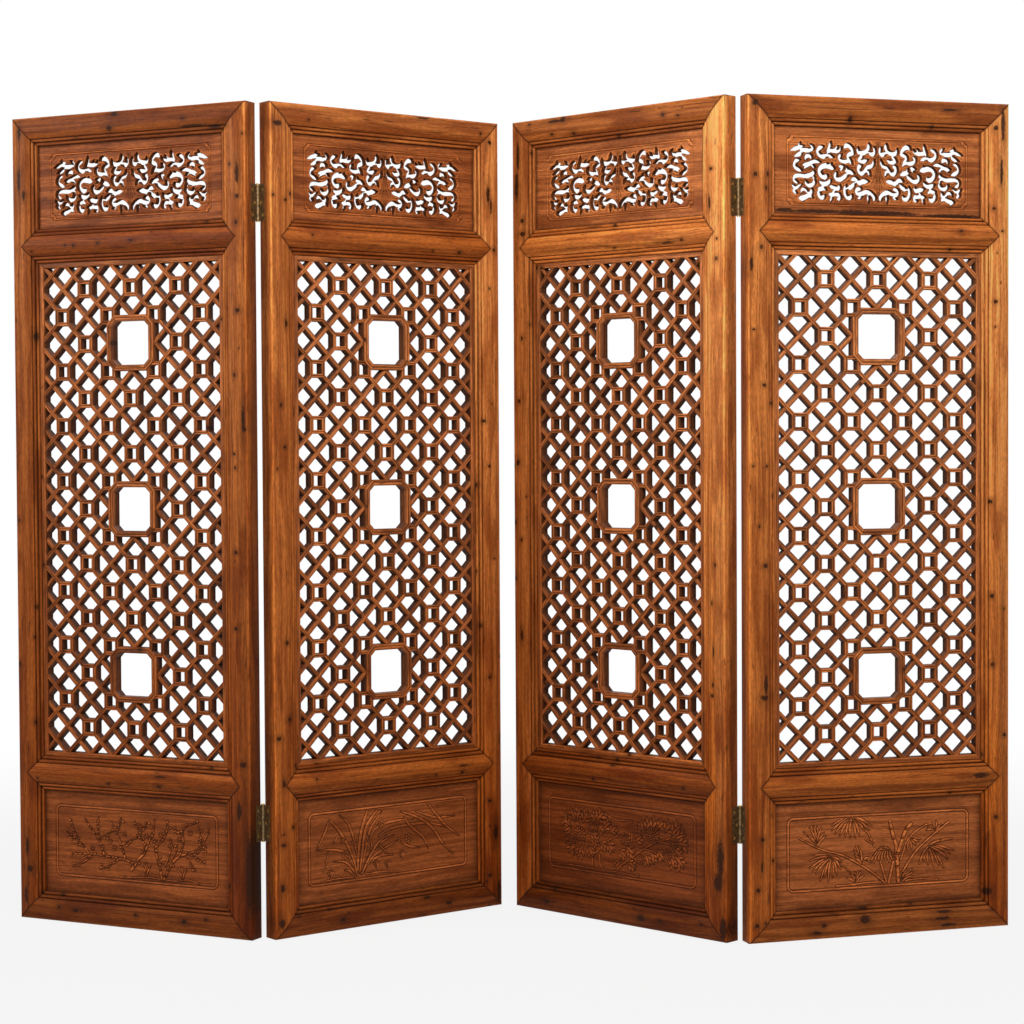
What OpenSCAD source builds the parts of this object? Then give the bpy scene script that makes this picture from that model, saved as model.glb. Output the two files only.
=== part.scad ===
// Carved wooden folding screen: two free-standing pairs of leaves.
// Each leaf is a mitred frame round a pierced scrollwork board, a deep
// octagon-and-cross lattice with three small windows, and a carved lower board.
// Millimetres, +Z up. X runs along the row, the fronts look towards -Y,
// and the origin is on the floor under the middle of the whole screen.

/* [Leaf] */
// Height of a leaf
leaf_h = 1830; // [1700:5:2000]
// Width of a leaf
leaf_w = 625; // [580:1:700]
// Thickness of a leaf
leaf_t = 46; // [44:0.5:56]

/* [Frame] */
// Width of the rounded face of the stiles and of the top and bottom rails
face_w = 48; // [44:0.5:56]
// Width of the rounded face of the two cross rails
cross_face_w = 44; // [38:0.5:48]
// Width of each of the two beads beside an opening
bead_w = 6.5; // [5:0.1:7.5]
// Width of the flat beside each bead
quirk_w = 1.5; // [1:0.1:2.5]
// Height of a bead above its flat
bead_h = 2.5; // [1.5:0.1:3]
// Depth of the flat of the outer bead behind the frame's crest
outer_bead_y = 8; // [7:0.1:8.5]
// Depth of the flat of the inner bead behind the frame's crest
inner_bead_y = 12; // [11.5:0.1:12.5]
// How far the edge of a rounded face lies behind its crest
face_drop = 4.5; // [2:0.1:5]
// Radius of the outer front arris of the frame
arris_r = 5; // [3:0.1:7]
// Depth of the mitred part of the frame joints
mitre_y = 20; // [18:0.5:22]
// Thickness of the tenons
tenon_t = 12; // [8:0.5:14]
// Length of the tenons
tenon_l = 42; // [30:1:46]
// Shoulder left above and below each tenon
tenon_shoulder = 13; // [10:0.5:16]

/* [Boards] */
// Height of the opening of the pierced top board
top_opening_h = 190; // [180:1:220]
// Height of the opening of the carved bottom board
bottom_opening_h = 235; // [220:1:300]
// Depth of the front of both boards behind the frame's crest
board_y = 16; // [15:0.5:17]
// Thickness of the pierced board
pierced_t = 12; // [8:0.5:14]
// Thickness of the carved board
carved_t = 14; // [10:0.5:16]
// How deep the boards sit in their grooves
groove_d = 6; // [4:0.5:8]
// Half the width of the pierced ornament
scroll_half_w = 205; // [200:1:212]
// Half the height of the pierced ornament
scroll_half_h = 66; // [64:0.5:70]
// How far the pierced strokes are cut outside the lines that draw them
scroll_swell = 1.6; // [1.2:0.05:1.7]
// Radius of the hollow corners of the line round the pierced ornament
scroll_corner_r = 14; // [10:0.5:16]
// Distance of the carved frame line from the sides of its opening
line_side = 28; // [20:1:40]
// Distance of the carved frame line from the top of its opening
line_top = 32; // [20:1:40]
// Distance of the carved frame line from the bottom of its opening
line_bottom = 38; // [20:1:44]
// Corner radius of the carved frame line
line_r = 14; // [8:0.5:20]
// Width of the carved lines on both boards
line_w = 2; // [1:0.1:3]
// Depth of the carved lines on both boards
line_d = 1.5; // [0.8:0.1:3]

/* [Lattice] */
// Distance from the middle of a cross to the middle of the next small square
cell = 62; // [58:0.5:70]
// Clear width of a small square
square_hole = 22.5; // [18:0.5:26]
// Width of the small squares' sides and of the bars that join their corners
ring_w = 8.6; // [7:0.1:10]
// Width of the bars that cross in the octagons
cross_w = 10; // [8:0.1:12]
// Depth of the front of the lattice behind the frame's crest
lattice_y = 14; // [13:0.5:16]
// Thickness of the lattice
lattice_t = 22; // [16:0.5:26]
// Width of the four edge sticks round the lattice
edge_w = 12; // [8:0.5:16]
// How far the edge sticks stand in front of the lattice
edge_proud = 1; // [0.5:0.1:2]

/* [Windows] */
// Clear width and height of a window
window_hole = 98; // [88:1:100]
// Width of the sides of a window's frame
window_side = 13.5; // [10:0.5:14]
// Cut of the window's inner corners
window_chamfer = 12; // [8:0.5:16]
// Distance between windows, counted in cells
window_step = 6; // [6:2:6]
// How far the middle window sits above the middle of the lattice opening
window_rise = 4.5; // [-5:0.5:10]
// How far the window frames stand in front of the lattice
window_proud = 3; // [1:0.5:4]
// Width of the raised band round a window frame
window_band = 6; // [4:0.5:8]

/* [Hinges] */
// Height of a hinge
hinge_h = 80; // [60:1:100]
// Width of a hinge plate on the edge of its leaf
plate_w = 20; // [16:0.5:24]
// Thickness of a hinge plate
plate_t = 1.5; // [1.2:0.1:1.7]
// Radius of the knuckles
knuckle_r = 4.5; // [4:0.1:4.7]
// Radius of the hinge pins
pin_r = 2.5; // [2:0.1:3]
// Distance of the pin's axis behind the back of the leaves
pin_back = 5; // [5:0.1:6.5]
// Distance between the edges of two leaves in line
edge_gap = 4; // [4:0.1:6]
// Height of the middle of the lower hinge above the floor
lower_hinge_z = 253; // [150:1:320]
// Distance of the middle of the upper hinge below the top
upper_hinge_drop = 217; // [150:1:320]
// Distance between the screws of a plate
screw_pitch = 28; // [18:0.5:30]
// Radius of a screw's shank
screw_r = 1.75; // [1.4:0.05:2]
// Radius of a screw's head
screw_head_r = 3.4; // [3:0.1:4]
// Length of a screw in the wood
screw_l = 20; // [12:1:28]

/* [Setting out] */
// Direction in which each leaf runs, from left to right
left_outer_turn = -26; // [-40:0.5:0]
left_inner_turn = 38; // [5:0.5:45]
right_inner_turn = -43.5; // [-50:0.5:-5]
right_outer_turn = 17; // [5:0.5:40]
// Clear distance between the two pairs
pair_gap = 29; // [10:1:200]
// How far the right pair stands in front of the left pair's end
pair_step = 10; // [0:1:60]

/* [Fits] */
// Glue line between the lattice's panels and at the mitres of its edge sticks
glue_gap = 0.1; // [0.05:0.05:0.2]
// Clearance of tenons and boards in their mortises and grooves
fit = 0.2; // [0.1:0.05:0.3]
// Clearance of the screws in the wood and in the plates
screw_fit = 0.05; // [0.03:0.01:0.1]
// Radial clearance of the pins in the knuckles
pin_fit = 0.06; // [0.03:0.01:0.1]
// Clearance between knuckles and between a knuckle and a pin's head
knuckle_fit = 0.2; // [0.1:0.05:0.4]

/* [Hidden] */
$fn = 48;
eps = 0.01;
over = 1;
mould_w = 2 * (bead_w + quirk_w);
frame_w = face_w + mould_w;
cross_h = cross_face_w + 2 * mould_w;
crest_t = mould_w + cross_face_w / 2;
arris_drop = 2;
back_arris = 1.5;
inner_w = leaf_w - 2 * frame_w;
bottom_opening_z = frame_w;
lower_rail_z = bottom_opening_z + bottom_opening_h + cross_h / 2;
top_opening_z = leaf_h - frame_w - top_opening_h;
upper_rail_z = top_opening_z - cross_h / 2;
lattice_z = lower_rail_z + cross_h / 2;
lattice_h = upper_rail_z - cross_h / 2 - lattice_z;
pattern_z = lattice_z + lattice_h / 2 + window_rise;
tenon_y = mitre_y + 4;
pin_y = leaf_t + pin_back;
pin_head_r = knuckle_r - 0.6;
pin_head_h = 2;
screw_stagger = 4;
screw_tip_l = 3;
screw_tip_r = 0.3;
slot_w = 0.7;
slot_d = 0.6;
scroll_margin = [5, 3];
window_outer = window_hole + 2 * window_side;
window_outer_chamfer = window_chamfer + (2 - sqrt(2)) * window_side;

WOOD = [0.62, 0.33, 0.14];
BOARD_WOOD = [0.52, 0.25, 0.11];
LATTICE_WOOD = [0.58, 0.30, 0.13];
BRONZE = [0.36, 0.28, 0.16];
BRASS = [0.72, 0.55, 0.25];

// ---- where the leaves stand -------------------------------------------

LEAVES = ["left_outer", "left_inner", "right_inner", "right_outer"];
turns = [left_outer_turn, left_inner_turn, right_inner_turn, right_outer_turn];

// Leaves 0 and 2 carry their hinges on the right edge, 1 and 3 on the left.
function hinged_right(leaf) = leaf % 2 == 0;
function turned(p, a) = [p[0] * cos(a) - p[1] * sin(a), p[0] * sin(a) + p[1] * cos(a)];
function local_pin(leaf) = [hinged_right(leaf) ? leaf_w + edge_gap / 2 : -edge_gap / 2, pin_y];
function from_pin(p, leaf) = turned(p - local_pin(leaf), turns[leaf]);

left_pin = [0, 0];
right_pin = left_pin + from_pin([leaf_w, 0], 1) + [pair_gap, -pair_step] - from_pin([0, 0], 2);
pins = [left_pin, left_pin, right_pin, right_pin];

// The plan of a leaf's four corners, with their rounding, sets the middle of the screen.
plan = [for (p = stile_section()) p, for (p = stile_section()) [leaf_w - p[0], p[1]]];
standing = [for (leaf = [0:3]) for (p = plan) pins[leaf] + from_pin(p, leaf)];
middle = [
    (min([for (p = standing) p[0]]) + max([for (p = standing) p[0]])) / 2,
    (min([for (p = standing) p[1]]) + max([for (p = standing) p[1]])) / 2
];

// Puts a leaf, drawn flat from its lower left front corner, where it stands.
module placed(leaf) {
    at = pins[leaf] - middle;
    translate([at[0], at[1], 0])
        rotate([0, 0, turns[leaf]])
            translate([-local_pin(leaf)[0], -local_pin(leaf)[1], 0])
                children();
}

// ---- frame --------------------------------------------------------------

// Points are [distance from the sight edge, depth behind the crest].
function bead(t, y) = [for (k = [0:6])
    [t + bead_w * (1 - cos(30 * k)) / 2, y - bead_h * sin(30 * k)]];
function moulding() = concat(
    bead(0, inner_bead_y),
    [[bead_w + quirk_w, inner_bead_y], [bead_w + quirk_w, outer_bead_y]],
    bead(bead_w + quirk_w, outer_bead_y),
    [[mould_w, outer_bead_y]]);
function rise() = [for (k = [0:5]) [mould_w + (crest_t - mould_w) * k / 5, face_drop * pow(1 - k / 5, 2)]];
function fall() = [for (k = [1:4])
    [crest_t + (frame_w - arris_r - crest_t) * k / 4, arris_drop * pow(k / 4, 2)]];
function arris() = [for (k = [1:4])
    [frame_w - arris_r + arris_r * sin(22.5 * k), arris_drop + arris_r * (1 - cos(22.5 * k))]];

// Section of a stile or an outer rail, from the sight edge outwards.
function outer_section() = concat(moulding(), rise(), fall(), arris(),
    [[frame_w, leaf_t - back_arris], [frame_w - back_arris, leaf_t], [0, leaf_t]]);
function stile_section() = [for (p = outer_section()) [frame_w - p[0], p[1]]];

// Section of a cross rail, moulded on both sides.
function cross_section() = concat(
    moulding(), rise(),
    [for (p = flip(concat(moulding(), rise()))) [cross_h - p[0], p[1]]],
    [[cross_h, leaf_t], [0, leaf_t]]);
function flip(list) = [for (k = [len(list) - 2:-1:0]) list[k]];

// Extrudes an outline drawn in X and Z from depth y0 to depth y1.
module deep(y0, y1) {
    translate([0, y1, 0]) rotate([90, 0, 0]) linear_extrude(y1 - y0) children();
}

// Extrudes a section drawn in Y and Z along X.
module along_x(length) {
    rotate([90, 0, 90]) linear_extrude(length) children();
}

// Outline of the mitred front of a rail at the top or bottom of the leaf.
function end_rail_outline(z_out, z_in) =
    [[0, z_out], [leaf_w, z_out], [leaf_w - frame_w, z_in], [frame_w, z_in]];
// Outline of the front of a cross rail, pointed at both ends.
function cross_rail_outline(z) = let (h = cross_h / 2) [
    [frame_w - h, z], [frame_w, z + h], [leaf_w - frame_w, z + h],
    [leaf_w - frame_w + h, z], [leaf_w - frame_w, z - h], [frame_w, z - h]];

module rail_fronts() {
    polygon(end_rail_outline(leaf_h, leaf_h - frame_w));
    polygon(end_rail_outline(0, frame_w));
    polygon(cross_rail_outline(lower_rail_z));
    polygon(cross_rail_outline(upper_rail_z));
}

// Two tenons of a rail, or their mortises with a clearance all round.
module tenons(z0, z1, gap = 0) {
    for (x = [frame_w - tenon_l, leaf_w - frame_w])
        translate([x - gap, tenon_y - gap, z0 - gap])
            cube([tenon_l + 2 * gap, tenon_t + 2 * gap, z1 - z0 + 2 * gap]);
}
module top_tenons(gap = 0)
    tenons(leaf_h - frame_w + tenon_shoulder, leaf_h - tenon_shoulder, gap);
module bottom_tenons(gap = 0)
    tenons(tenon_shoulder, frame_w - tenon_shoulder, gap);
module cross_tenons(z, gap = 0)
    tenons(z - cross_h / 2 + tenon_shoulder, z + cross_h / 2 - tenon_shoulder, gap);

// Room for a board in the frame; a gap of 0 gives the board itself.
module board_block(z, h, thick, gap = 0) {
    translate([frame_w - groove_d - gap, board_y, z - groove_d - gap])
        cube([inner_w + 2 * (groove_d + gap), thick + gap, h + 2 * (groove_d + gap)]);
}
module board_grooves() {
    board_block(top_opening_z, top_opening_h, pierced_t, fit);
    board_block(bottom_opening_z, bottom_opening_h, carved_t, fit);
}

module rail(front_outline) {
    difference() {
        intersection() {
            children();
            union() {
                deep(-over, mitre_y) polygon(front_outline);
                translate([frame_w, mitre_y - eps, -over])
                    cube([inner_w, leaf_t - mitre_y + over, leaf_h + 2 * over]);
            }
        }
        board_grooves();
    }
}

module top_rail() {
    color(WOOD) {
        rail(end_rail_outline(leaf_h, leaf_h - frame_w))
            along_x(leaf_w)
                polygon([for (p = outer_section()) [p[1], leaf_h - frame_w + p[0]]]);
        top_tenons();
    }
}

module bottom_rail() {
    color(WOOD) {
        rail(end_rail_outline(0, frame_w))
            along_x(leaf_w)
                polygon([for (p = outer_section()) [p[1], frame_w - p[0]]]);
        bottom_tenons();
    }
}

module cross_rail(z) {
    color(WOOD) {
        rail(cross_rail_outline(z))
            along_x(leaf_w)
                polygon([for (p = cross_section()) [p[1], z - cross_h / 2 + p[0]]]);
        cross_tenons(z);
    }
}

module stile_blank() {
    difference() {
        linear_extrude(leaf_h) polygon(stile_section());
        deep(-over, mitre_y) rail_fronts();
        top_tenons(fit);
        bottom_tenons(fit);
        cross_tenons(lower_rail_z, fit);
        cross_tenons(upper_rail_z, fit);
        board_grooves();
    }
}

module left_stile(leaf) {
    color(WOOD) difference() {
        stile_blank();
        if (!hinged_right(leaf)) at_screws(leaf) screw_hole();
    }
}

module right_stile(leaf) {
    color(WOOD) difference() {
        translate([leaf_w, 0, 0]) mirror([1, 0, 0]) stile_blank();
        if (hinged_right(leaf)) at_screws(leaf) screw_hole();
    }
}

// ---- pierced top board ----------------------------------------------------

// The openings of the scrollwork, right half: each stroke is
// [width at its start, width at its end, points], measured from the board's middle.
SCROLL = [
    // outer top corner
    [4, 7, [[203, 44], [188, 49], [176, 53]]], [5, 3, [[187, 50], [184, 59]]],
    [6, 5, [[195, 31], [182, 37], [181, 47]]], [6, 7, [[182, 46], [168, 44], [157, 45]]],
    [6, 3, [[157, 45], [153, 50], [159, 56]]],
    // outer curls
    [4, 6, [[185, 23], [193, 21], [197, 11], [191, 4], [180, 0]]],
    [4, 6, [[170, 24], [169, 31], [161, 33], [156, 27]]],
    [7, 3, [[176, 12], [163, 14], [150, 21], [138, 20]]], [5, 3, [[166, 13], [173, 7]]],
    [5, 4, [[158, 14], [150, 8]]],
    [4, 6, [[189, -26], [197, -22], [196, -13], [184, -10], [169, -12], [153, -6], [151, 0]]],
    [4, 6, [[171, -22], [167, -30], [159, -32], [151, -27], [150, -19]]], [5, 5, [[153, -9], [150, -20]]],
    [5, 5, [[202, -32], [195, -38], [198, -44], [192, -49]]], [5, 4, [[194, -39], [182, -31]]],
    [3, 4, [[181, -47], [178, -40], [170, -41], [164, -49]]],
    [7, 6, [[186, -60], [177, -59], [167, -55], [158, -48], [156, -39]]], [5, 3, [[178, -60], [177, -65]]],
    [5, 4, [[160, -50], [155, -58]]],
    // upper middle
    [5, 6, [[129, 53], [138, 50], [142, 42], [138, 35], [129, 31], [120, 36]]],
    [7, 4, [[119, 38], [114, 51], [112, 63]]], [5, 7, [[120, 36], [106, 31]]],
    [5, 6, [[116, 45], [103, 45], [91, 44]]], [5, 4, [[101, 46], [95, 54]]], [5, 3, [[91, 44], [86, 52]]],
    [6, 7, [[80, 53], [72, 58], [63, 53], [58, 42], [71, 38]]], [6, 6, [[70, 39], [69, 29], [61, 17]]],
    [5, 5, [[68, 24], [79, 22], [88, 25], [91, 32], [86, 37]]],
    // middle curls
    [7, 7, [[103, 7], [114, 10], [126, 12], [135, 7], [138, -2], [132, -11], [124, -13], [119, -8]]],
    [4, 3, [[112, 10], [110, 17]]], [4, 3, [[124, 12], [120, 17]]],
    [6, 5, [[91, 11], [82, 11], [88, 4]]], [6, 7, [[77, 2], [68, 1], [56, -3]]], [4, 3, [[70, 3], [74, 10]]],
    [5, 6, [[97, -2], [101, -9], [97, -16], [88, -17], [80, -12], [70, -4]]],
    // beside the trunk
    [5, 7, [[47, 53], [45, 43], [30, 43], [21, 52], [21, 63]]],
    [7, 4, [[21, 44], [10, 39], [6, 48], [9, 55]]], [6, 5, [[37, 43], [38, 34], [44, 26], [34, 23], [24, 27]]],
    [4, 7, [[8, 27], [12, 15], [24, 11], [30, 2], [38, -3], [44, 3], [44, 12], [37, 15]]],
    [6, 6, [[24, 6], [18, -6]]],
    [7, 6, [[22, -19], [36, -20], [43, -24], [52, -15], [62, -17]]],
    [6, 7, [[53, -23], [61, -32], [71, -35]]], [6, 5, [[75, -29], [78, -43], [73, -55], [64, -56], [61, -49]]],
    [6, 6, [[38, -36], [46, -36], [50, -42], [43, -48], [26, -42], [16, -45], [7, -54], [9, -60]]],
    [5, 4, [[46, -56], [38, -53]]], [6, 3, [[22, -46], [22, -64]]],
    // lower middle
    [6, 6, [[111, -18], [118, -26], [129, -27], [137, -22]]], [7, 6, [[127, -28], [132, -38], [141, -38]]],
    [7, 5, [[140, -41], [138, -53], [131, -58], [125, -52]]], [4, 3, [[130, -36], [123, -40]]],
    [5, 6, [[90, -29], [92, -37], [103, -35], [113, -32]]], [6, 6, [[101, -38], [106, -50], [115, -50]]],
    [6, 3, [[107, -52], [112, -64]]], [6, 5, [[102, -51], [91, -50], [90, -58], [96, -59]]]
];

// Catmull-Rom point on the span k of a list of points.
function knot(p, k) = p[max(0, min(len(p) - 1, k))];
function smooth_point(p, k, s) =
    0.5 * ((2 * knot(p, k))
        + (knot(p, k + 1) - knot(p, k - 1)) * s
        + (2 * knot(p, k - 1) - 5 * knot(p, k) + 4 * knot(p, k + 1) - knot(p, k + 2)) * s * s
        + (3 * knot(p, k) - knot(p, k - 1) - 3 * knot(p, k + 1) + knot(p, k + 2)) * s * s * s);
function smooth(p, n = 2) = concat(
    [for (k = [0:len(p) - 2]) for (s = [0:n - 1]) smooth_point(p, k, s / n)],
    [p[len(p) - 1]]);

// A stroke along a smooth line, pointed at both ends, whose width goes from w0 to w1.
module stroke(w0, w1, points) {
    path = smooth(points);
    last = len(path) - 1;
    half = [for (k = [1:last - 1])
        let (run = path[k + 1] - path[k - 1], r = (w0 + (w1 - w0) * k / last) / 2)
            [-run[1], run[0]] * r / norm(run)];
    polygon(concat(
        [for (k = [0:last]) path[k] + (k == 0 || k == last ? [0, 0] : half[k - 1])],
        [for (k = [last - 1:-1:1]) path[k] - half[k - 1]]));
}

module scroll_openings() {
    stretch = [scroll_half_w / 205, scroll_half_h / 66];
    offset(delta = scroll_swell)
        for (side = [-1, 1])
            for (s = SCROLL)
                stroke(s[0], s[1], [for (p = s[2]) [side * p[0] * stretch[0], p[1] * stretch[1]]]);
}

// Rectangle with hollow corners.
module hollow_cornered(w, h, r) {
    difference() {
        square([w, h], center = true);
        for (x = [-w / 2, w / 2], z = [-h / 2, h / 2]) translate([x, z]) circle(r, $fn = 24);
    }
}

module pierced_board() {
    middle_z = top_opening_z + top_opening_h / 2;
    w = 2 * (scroll_half_w + scroll_margin[0]);
    h = 2 * (scroll_half_h + scroll_margin[1]);
    color(BOARD_WOOD) difference() {
        board_block(top_opening_z, top_opening_h, pierced_t);
        translate([leaf_w / 2, 0, middle_z]) {
            deep(board_y - over, board_y + pierced_t + over) scroll_openings();
            deep(board_y - over, board_y + line_d) difference() {
                hollow_cornered(w + 2 * line_w, h + 2 * line_w, scroll_corner_r - line_w);
                hollow_cornered(w, h, scroll_corner_r);
            }
        }
    }
}

// ---- carved bottom board --------------------------------------------------

module round_cornered(w, h, r) {
    offset(r = r, $fn = 24) square([w - 2 * r, h - 2 * r], center = true);
}

module carved_line(w, h, r) {
    difference() {
        round_cornered(w, h, r);
        round_cornered(w - 2 * line_w, h - 2 * line_w, r - line_w);
    }
}

module carved_board() {
    w = inner_w - 2 * line_side;
    h = bottom_opening_h - line_top - line_bottom;
    bead_step = 3 * line_w;
    color(BOARD_WOOD) difference() {
        board_block(bottom_opening_z, bottom_opening_h, carved_t);
        translate([leaf_w / 2, 0, bottom_opening_z + line_bottom + h / 2])
            deep(board_y - over, board_y + line_d) {
                carved_line(w, h, line_r);
                carved_line(w - 2 * bead_step, h - 2 * bead_step, line_r - bead_step);
            }
    }
}

// ---- lattice ----------------------------------------------------------------

// Corners of a square of side s with its corners cut by c.
function cut_square(s, c) = let (a = s / 2, b = s / 2 - c)
    [[a, b], [b, a], [-b, a], [-a, b], [-a, -b], [-b, -a], [b, -a], [a, -b]];

module at_windows() {
    for (k = [-1:1]) translate([leaf_w / 2, 0, pattern_z + k * window_step * cell]) children();
}

// Bars run both ways at 45 degrees through every cross and every small square.
module lattice_bars(reach) {
    for (k = [-reach:reach], a = [-45, 45])
        translate([0, k * cell]) rotate(a)
            square([4 * reach * cell, k % 2 == 0 ? ring_w : cross_w], center = true);
}

// Squares that would cross an edge stick are left out, and the bars run on into the stick.
module at_small_squares(nx, nz) {
    reach = square_hole / 2 + ring_w;
    for (i = [-nx:nx], j = [-nz:nz])
        if ((i + j) % 2 == 0
            && abs(i) * cell + reach < inner_w / 2 - edge_w
            && abs(j * cell + window_rise) + reach < lattice_h / 2 - edge_w)
            translate([i * cell, j * cell]) children();
}

// The lattice is glued up in three panels, one round each window.
module lattice_panel(k) {
    nx = ceil(inner_w / 2 / cell);
    nz = ceil(lattice_h / 2 / cell) + 1;
    clear_w = inner_w - 2 * edge_w;
    clear_h = lattice_h - 2 * edge_w;
    panel_h = window_step * cell;
    offset(delta = 0) intersection() {
        translate([0, -window_rise]) square([clear_w, clear_h], center = true);
        translate([0, k * panel_h]) {
            square([clear_w, panel_h - glue_gap], center = true);
            if (k != 0) translate([0, k * panel_h / 2]) square([clear_w, panel_h], center = true);
        }
        difference() {
            union() {
                lattice_bars(nx + nz);
                at_small_squares(nx, nz) square(square_hole + 2 * ring_w, center = true);
            }
            at_small_squares(nx, nz) square(square_hole, center = true);
            for (w = [-1:1]) translate([0, w * window_step * cell])
                polygon(cut_square(window_outer, window_outer_chamfer));
        }
    }
}

module lattice() {
    color(LATTICE_WOOD)
        translate([leaf_w / 2, 0, pattern_z])
            for (k = [-1:1]) deep(lattice_y, lattice_y + lattice_t) lattice_panel(k);
}

// Four mitred sticks that hold the ends of the lattice bars.
module edge_sticks() {
    x0 = frame_w;
    x1 = leaf_w - frame_w;
    z0 = lattice_z;
    z1 = lattice_z + lattice_h;
    e = edge_w;
    g = glue_gap;
    color(WOOD) deep(lattice_y - edge_proud, lattice_y + lattice_t) {
        polygon([[x0, z0 + g], [x0, z1 - g], [x0 + e, z1 - e - g], [x0 + e, z0 + e + g]]);
        polygon([[x1, z1 - g], [x1, z0 + g], [x1 - e, z0 + e + g], [x1 - e, z1 - e - g]]);
        polygon([[x0, z1], [x1, z1], [x1 - e, z1 - e], [x0 + e, z1 - e]]);
        polygon([[x1, z0], [x0, z0], [x0 + e, z0 + e], [x1 - e, z0 + e]]);
    }
}

// A window frame: a flat octagonal ring with a raised band round its outside.
module window_ring(band) {
    difference() {
        polygon(cut_square(window_outer, window_outer_chamfer));
        polygon(cut_square(window_outer - 2 * band, window_outer_chamfer - (2 - sqrt(2)) * band));
    }
}

module window_frames() {
    front = lattice_y - window_proud;
    step = window_proud / 2;
    color(WOOD) at_windows() {
        deep(front + step, lattice_y + lattice_t) window_ring(window_side);
        deep(front, front + step + eps) window_ring(window_band);
    }
}

// ---- hinges -------------------------------------------------------------------

hinge_heights = [lower_hinge_z, leaf_h - upper_hinge_drop];

// Puts the children on the hinged edge, with X pointing out of the leaf.
module on_edge(leaf) {
    if (hinged_right(leaf)) translate([leaf_w, 0, 0]) children();
    else mirror([1, 0, 0]) children();
}

module at_screws(leaf) {
    on_edge(leaf) for (z = hinge_heights, k = [-1:1])
        translate([plate_t, leaf_t - plate_w / 2 + (k == 0 ? 1 : -1) * screw_stagger, z + k * screw_pitch])
            rotate([0, -90, 0]) children();
}

// A countersunk screw, pointing along +Z from the face of the plate.
module screw() {
    difference() {
        union() {
            cylinder(h = plate_t, r1 = screw_head_r, r2 = screw_r);
            translate([0, 0, plate_t - eps]) cylinder(h = screw_l - screw_tip_l, r = screw_r);
            translate([0, 0, plate_t + screw_l - screw_tip_l - 2 * eps])
                cylinder(h = screw_tip_l, r1 = screw_r, r2 = screw_tip_r);
        }
        translate([-screw_head_r - over, -slot_w / 2, -over])
            cube([2 * (screw_head_r + over), slot_w, slot_d + over]);
    }
}

module screw_hole() {
    translate([0, 0, plate_t - eps]) cylinder(h = screw_l + screw_fit, r = screw_r + screw_fit);
}

module countersink() {
    translate([0, 0, -eps])
        cylinder(h = plate_t + 2 * eps, r1 = screw_head_r + screw_fit, r2 = screw_r + screw_fit);
}

// A plate on the leaf's edge with one knuckle: the upper one on the
// leaf left of the hinge, the lower one on the leaf right of it.
module hinge_half(leaf, z) {
    knuckle_z = hinged_right(leaf) ? z + knuckle_fit / 2 : z - hinge_h / 2;
    knuckle_h = hinge_h / 2 - knuckle_fit / 2;
    on_edge(leaf) difference() {
        union() {
            translate([0, leaf_t - plate_w, z - hinge_h / 2]) cube([plate_t, plate_w, hinge_h]);
            translate([0, leaf_t - eps, knuckle_z]) cube([plate_t, pin_back + eps, knuckle_h]);
            translate([edge_gap / 2, pin_y, knuckle_z]) cylinder(h = knuckle_h, r = knuckle_r);
        }
        translate([edge_gap / 2, pin_y, knuckle_z - over])
            cylinder(h = knuckle_h + 2 * over, r = pin_r + pin_fit);
    }
}

module hinge_halves(leaf) {
    color(BRONZE) difference() {
        for (z = hinge_heights) hinge_half(leaf, z);
        at_screws(leaf) countersink();
    }
}

module hinge_screws(leaf) {
    color(BRONZE) at_screws(leaf) screw();
}

// The pins of a pair, with a flat head at each end.
module hinge_pins(leaf) {
    color(BRASS) on_edge(leaf) for (z = hinge_heights) translate([edge_gap / 2, pin_y, z]) {
        translate([0, 0, -hinge_h / 2]) cylinder(h = hinge_h + knuckle_fit, r = pin_r);
        translate([0, 0, hinge_h / 2 + knuckle_fit - eps]) cylinder(h = pin_head_h, r = pin_head_r);
        translate([0, 0, -hinge_h / 2 - pin_head_h]) cylinder(h = pin_head_h, r = pin_head_r);
    }
}

// ---- nodes ----------------------------------------------------------------------

PIECES = ["left_stile", "right_stile", "top_rail", "upper_cross_rail", "lower_cross_rail",
    "bottom_rail", "pierced_board", "lattice", "edge_sticks", "window_frames", "carved_board",
    "hinge_halves", "hinge_screws"];

for (leaf = [0:3]) placed(leaf) {
    name = str(LEAVES[leaf], "_");
    left_stile(leaf);
    right_stile(leaf);
    top_rail();
    cross_rail(upper_rail_z);
    cross_rail(lower_rail_z);
    bottom_rail();
    pierced_board();
    lattice();
    edge_sticks();
    window_frames();
    carved_board();
    hinge_halves(leaf);
    hinge_screws(leaf);
}
placed(1) hinge_pins(1);  // left_hinge_pins
placed(3) hinge_pins(3);  // right_hinge_pins
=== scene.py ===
"""Carved wooden folding screen: its visible pieces, finishes, light and camera."""

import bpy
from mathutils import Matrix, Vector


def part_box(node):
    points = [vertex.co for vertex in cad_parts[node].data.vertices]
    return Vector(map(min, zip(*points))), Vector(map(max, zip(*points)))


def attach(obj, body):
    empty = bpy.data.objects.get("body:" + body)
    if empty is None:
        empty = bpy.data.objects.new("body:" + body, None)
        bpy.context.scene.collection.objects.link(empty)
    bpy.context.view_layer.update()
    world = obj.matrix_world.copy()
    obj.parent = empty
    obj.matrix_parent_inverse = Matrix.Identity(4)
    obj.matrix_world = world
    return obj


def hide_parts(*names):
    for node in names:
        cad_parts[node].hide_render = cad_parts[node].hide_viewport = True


bl_info = {
    "name": "Carved folding screen",
    "version": (1, 0, 0),
    "blender": (4, 5, 0),
    "location": "View3D > Sidebar > Screen",
    "description": "Models the four carved and latticed leaves of a folding screen "
                   "on its packed frame",
    "category": "Add Mesh",
}

import math
import random

import bmesh
import bpy
import numpy as np
from mathutils import Matrix, Vector
from mathutils.geometry import delaunay_2d_cdt
from mathutils.kdtree import KDTree

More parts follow.
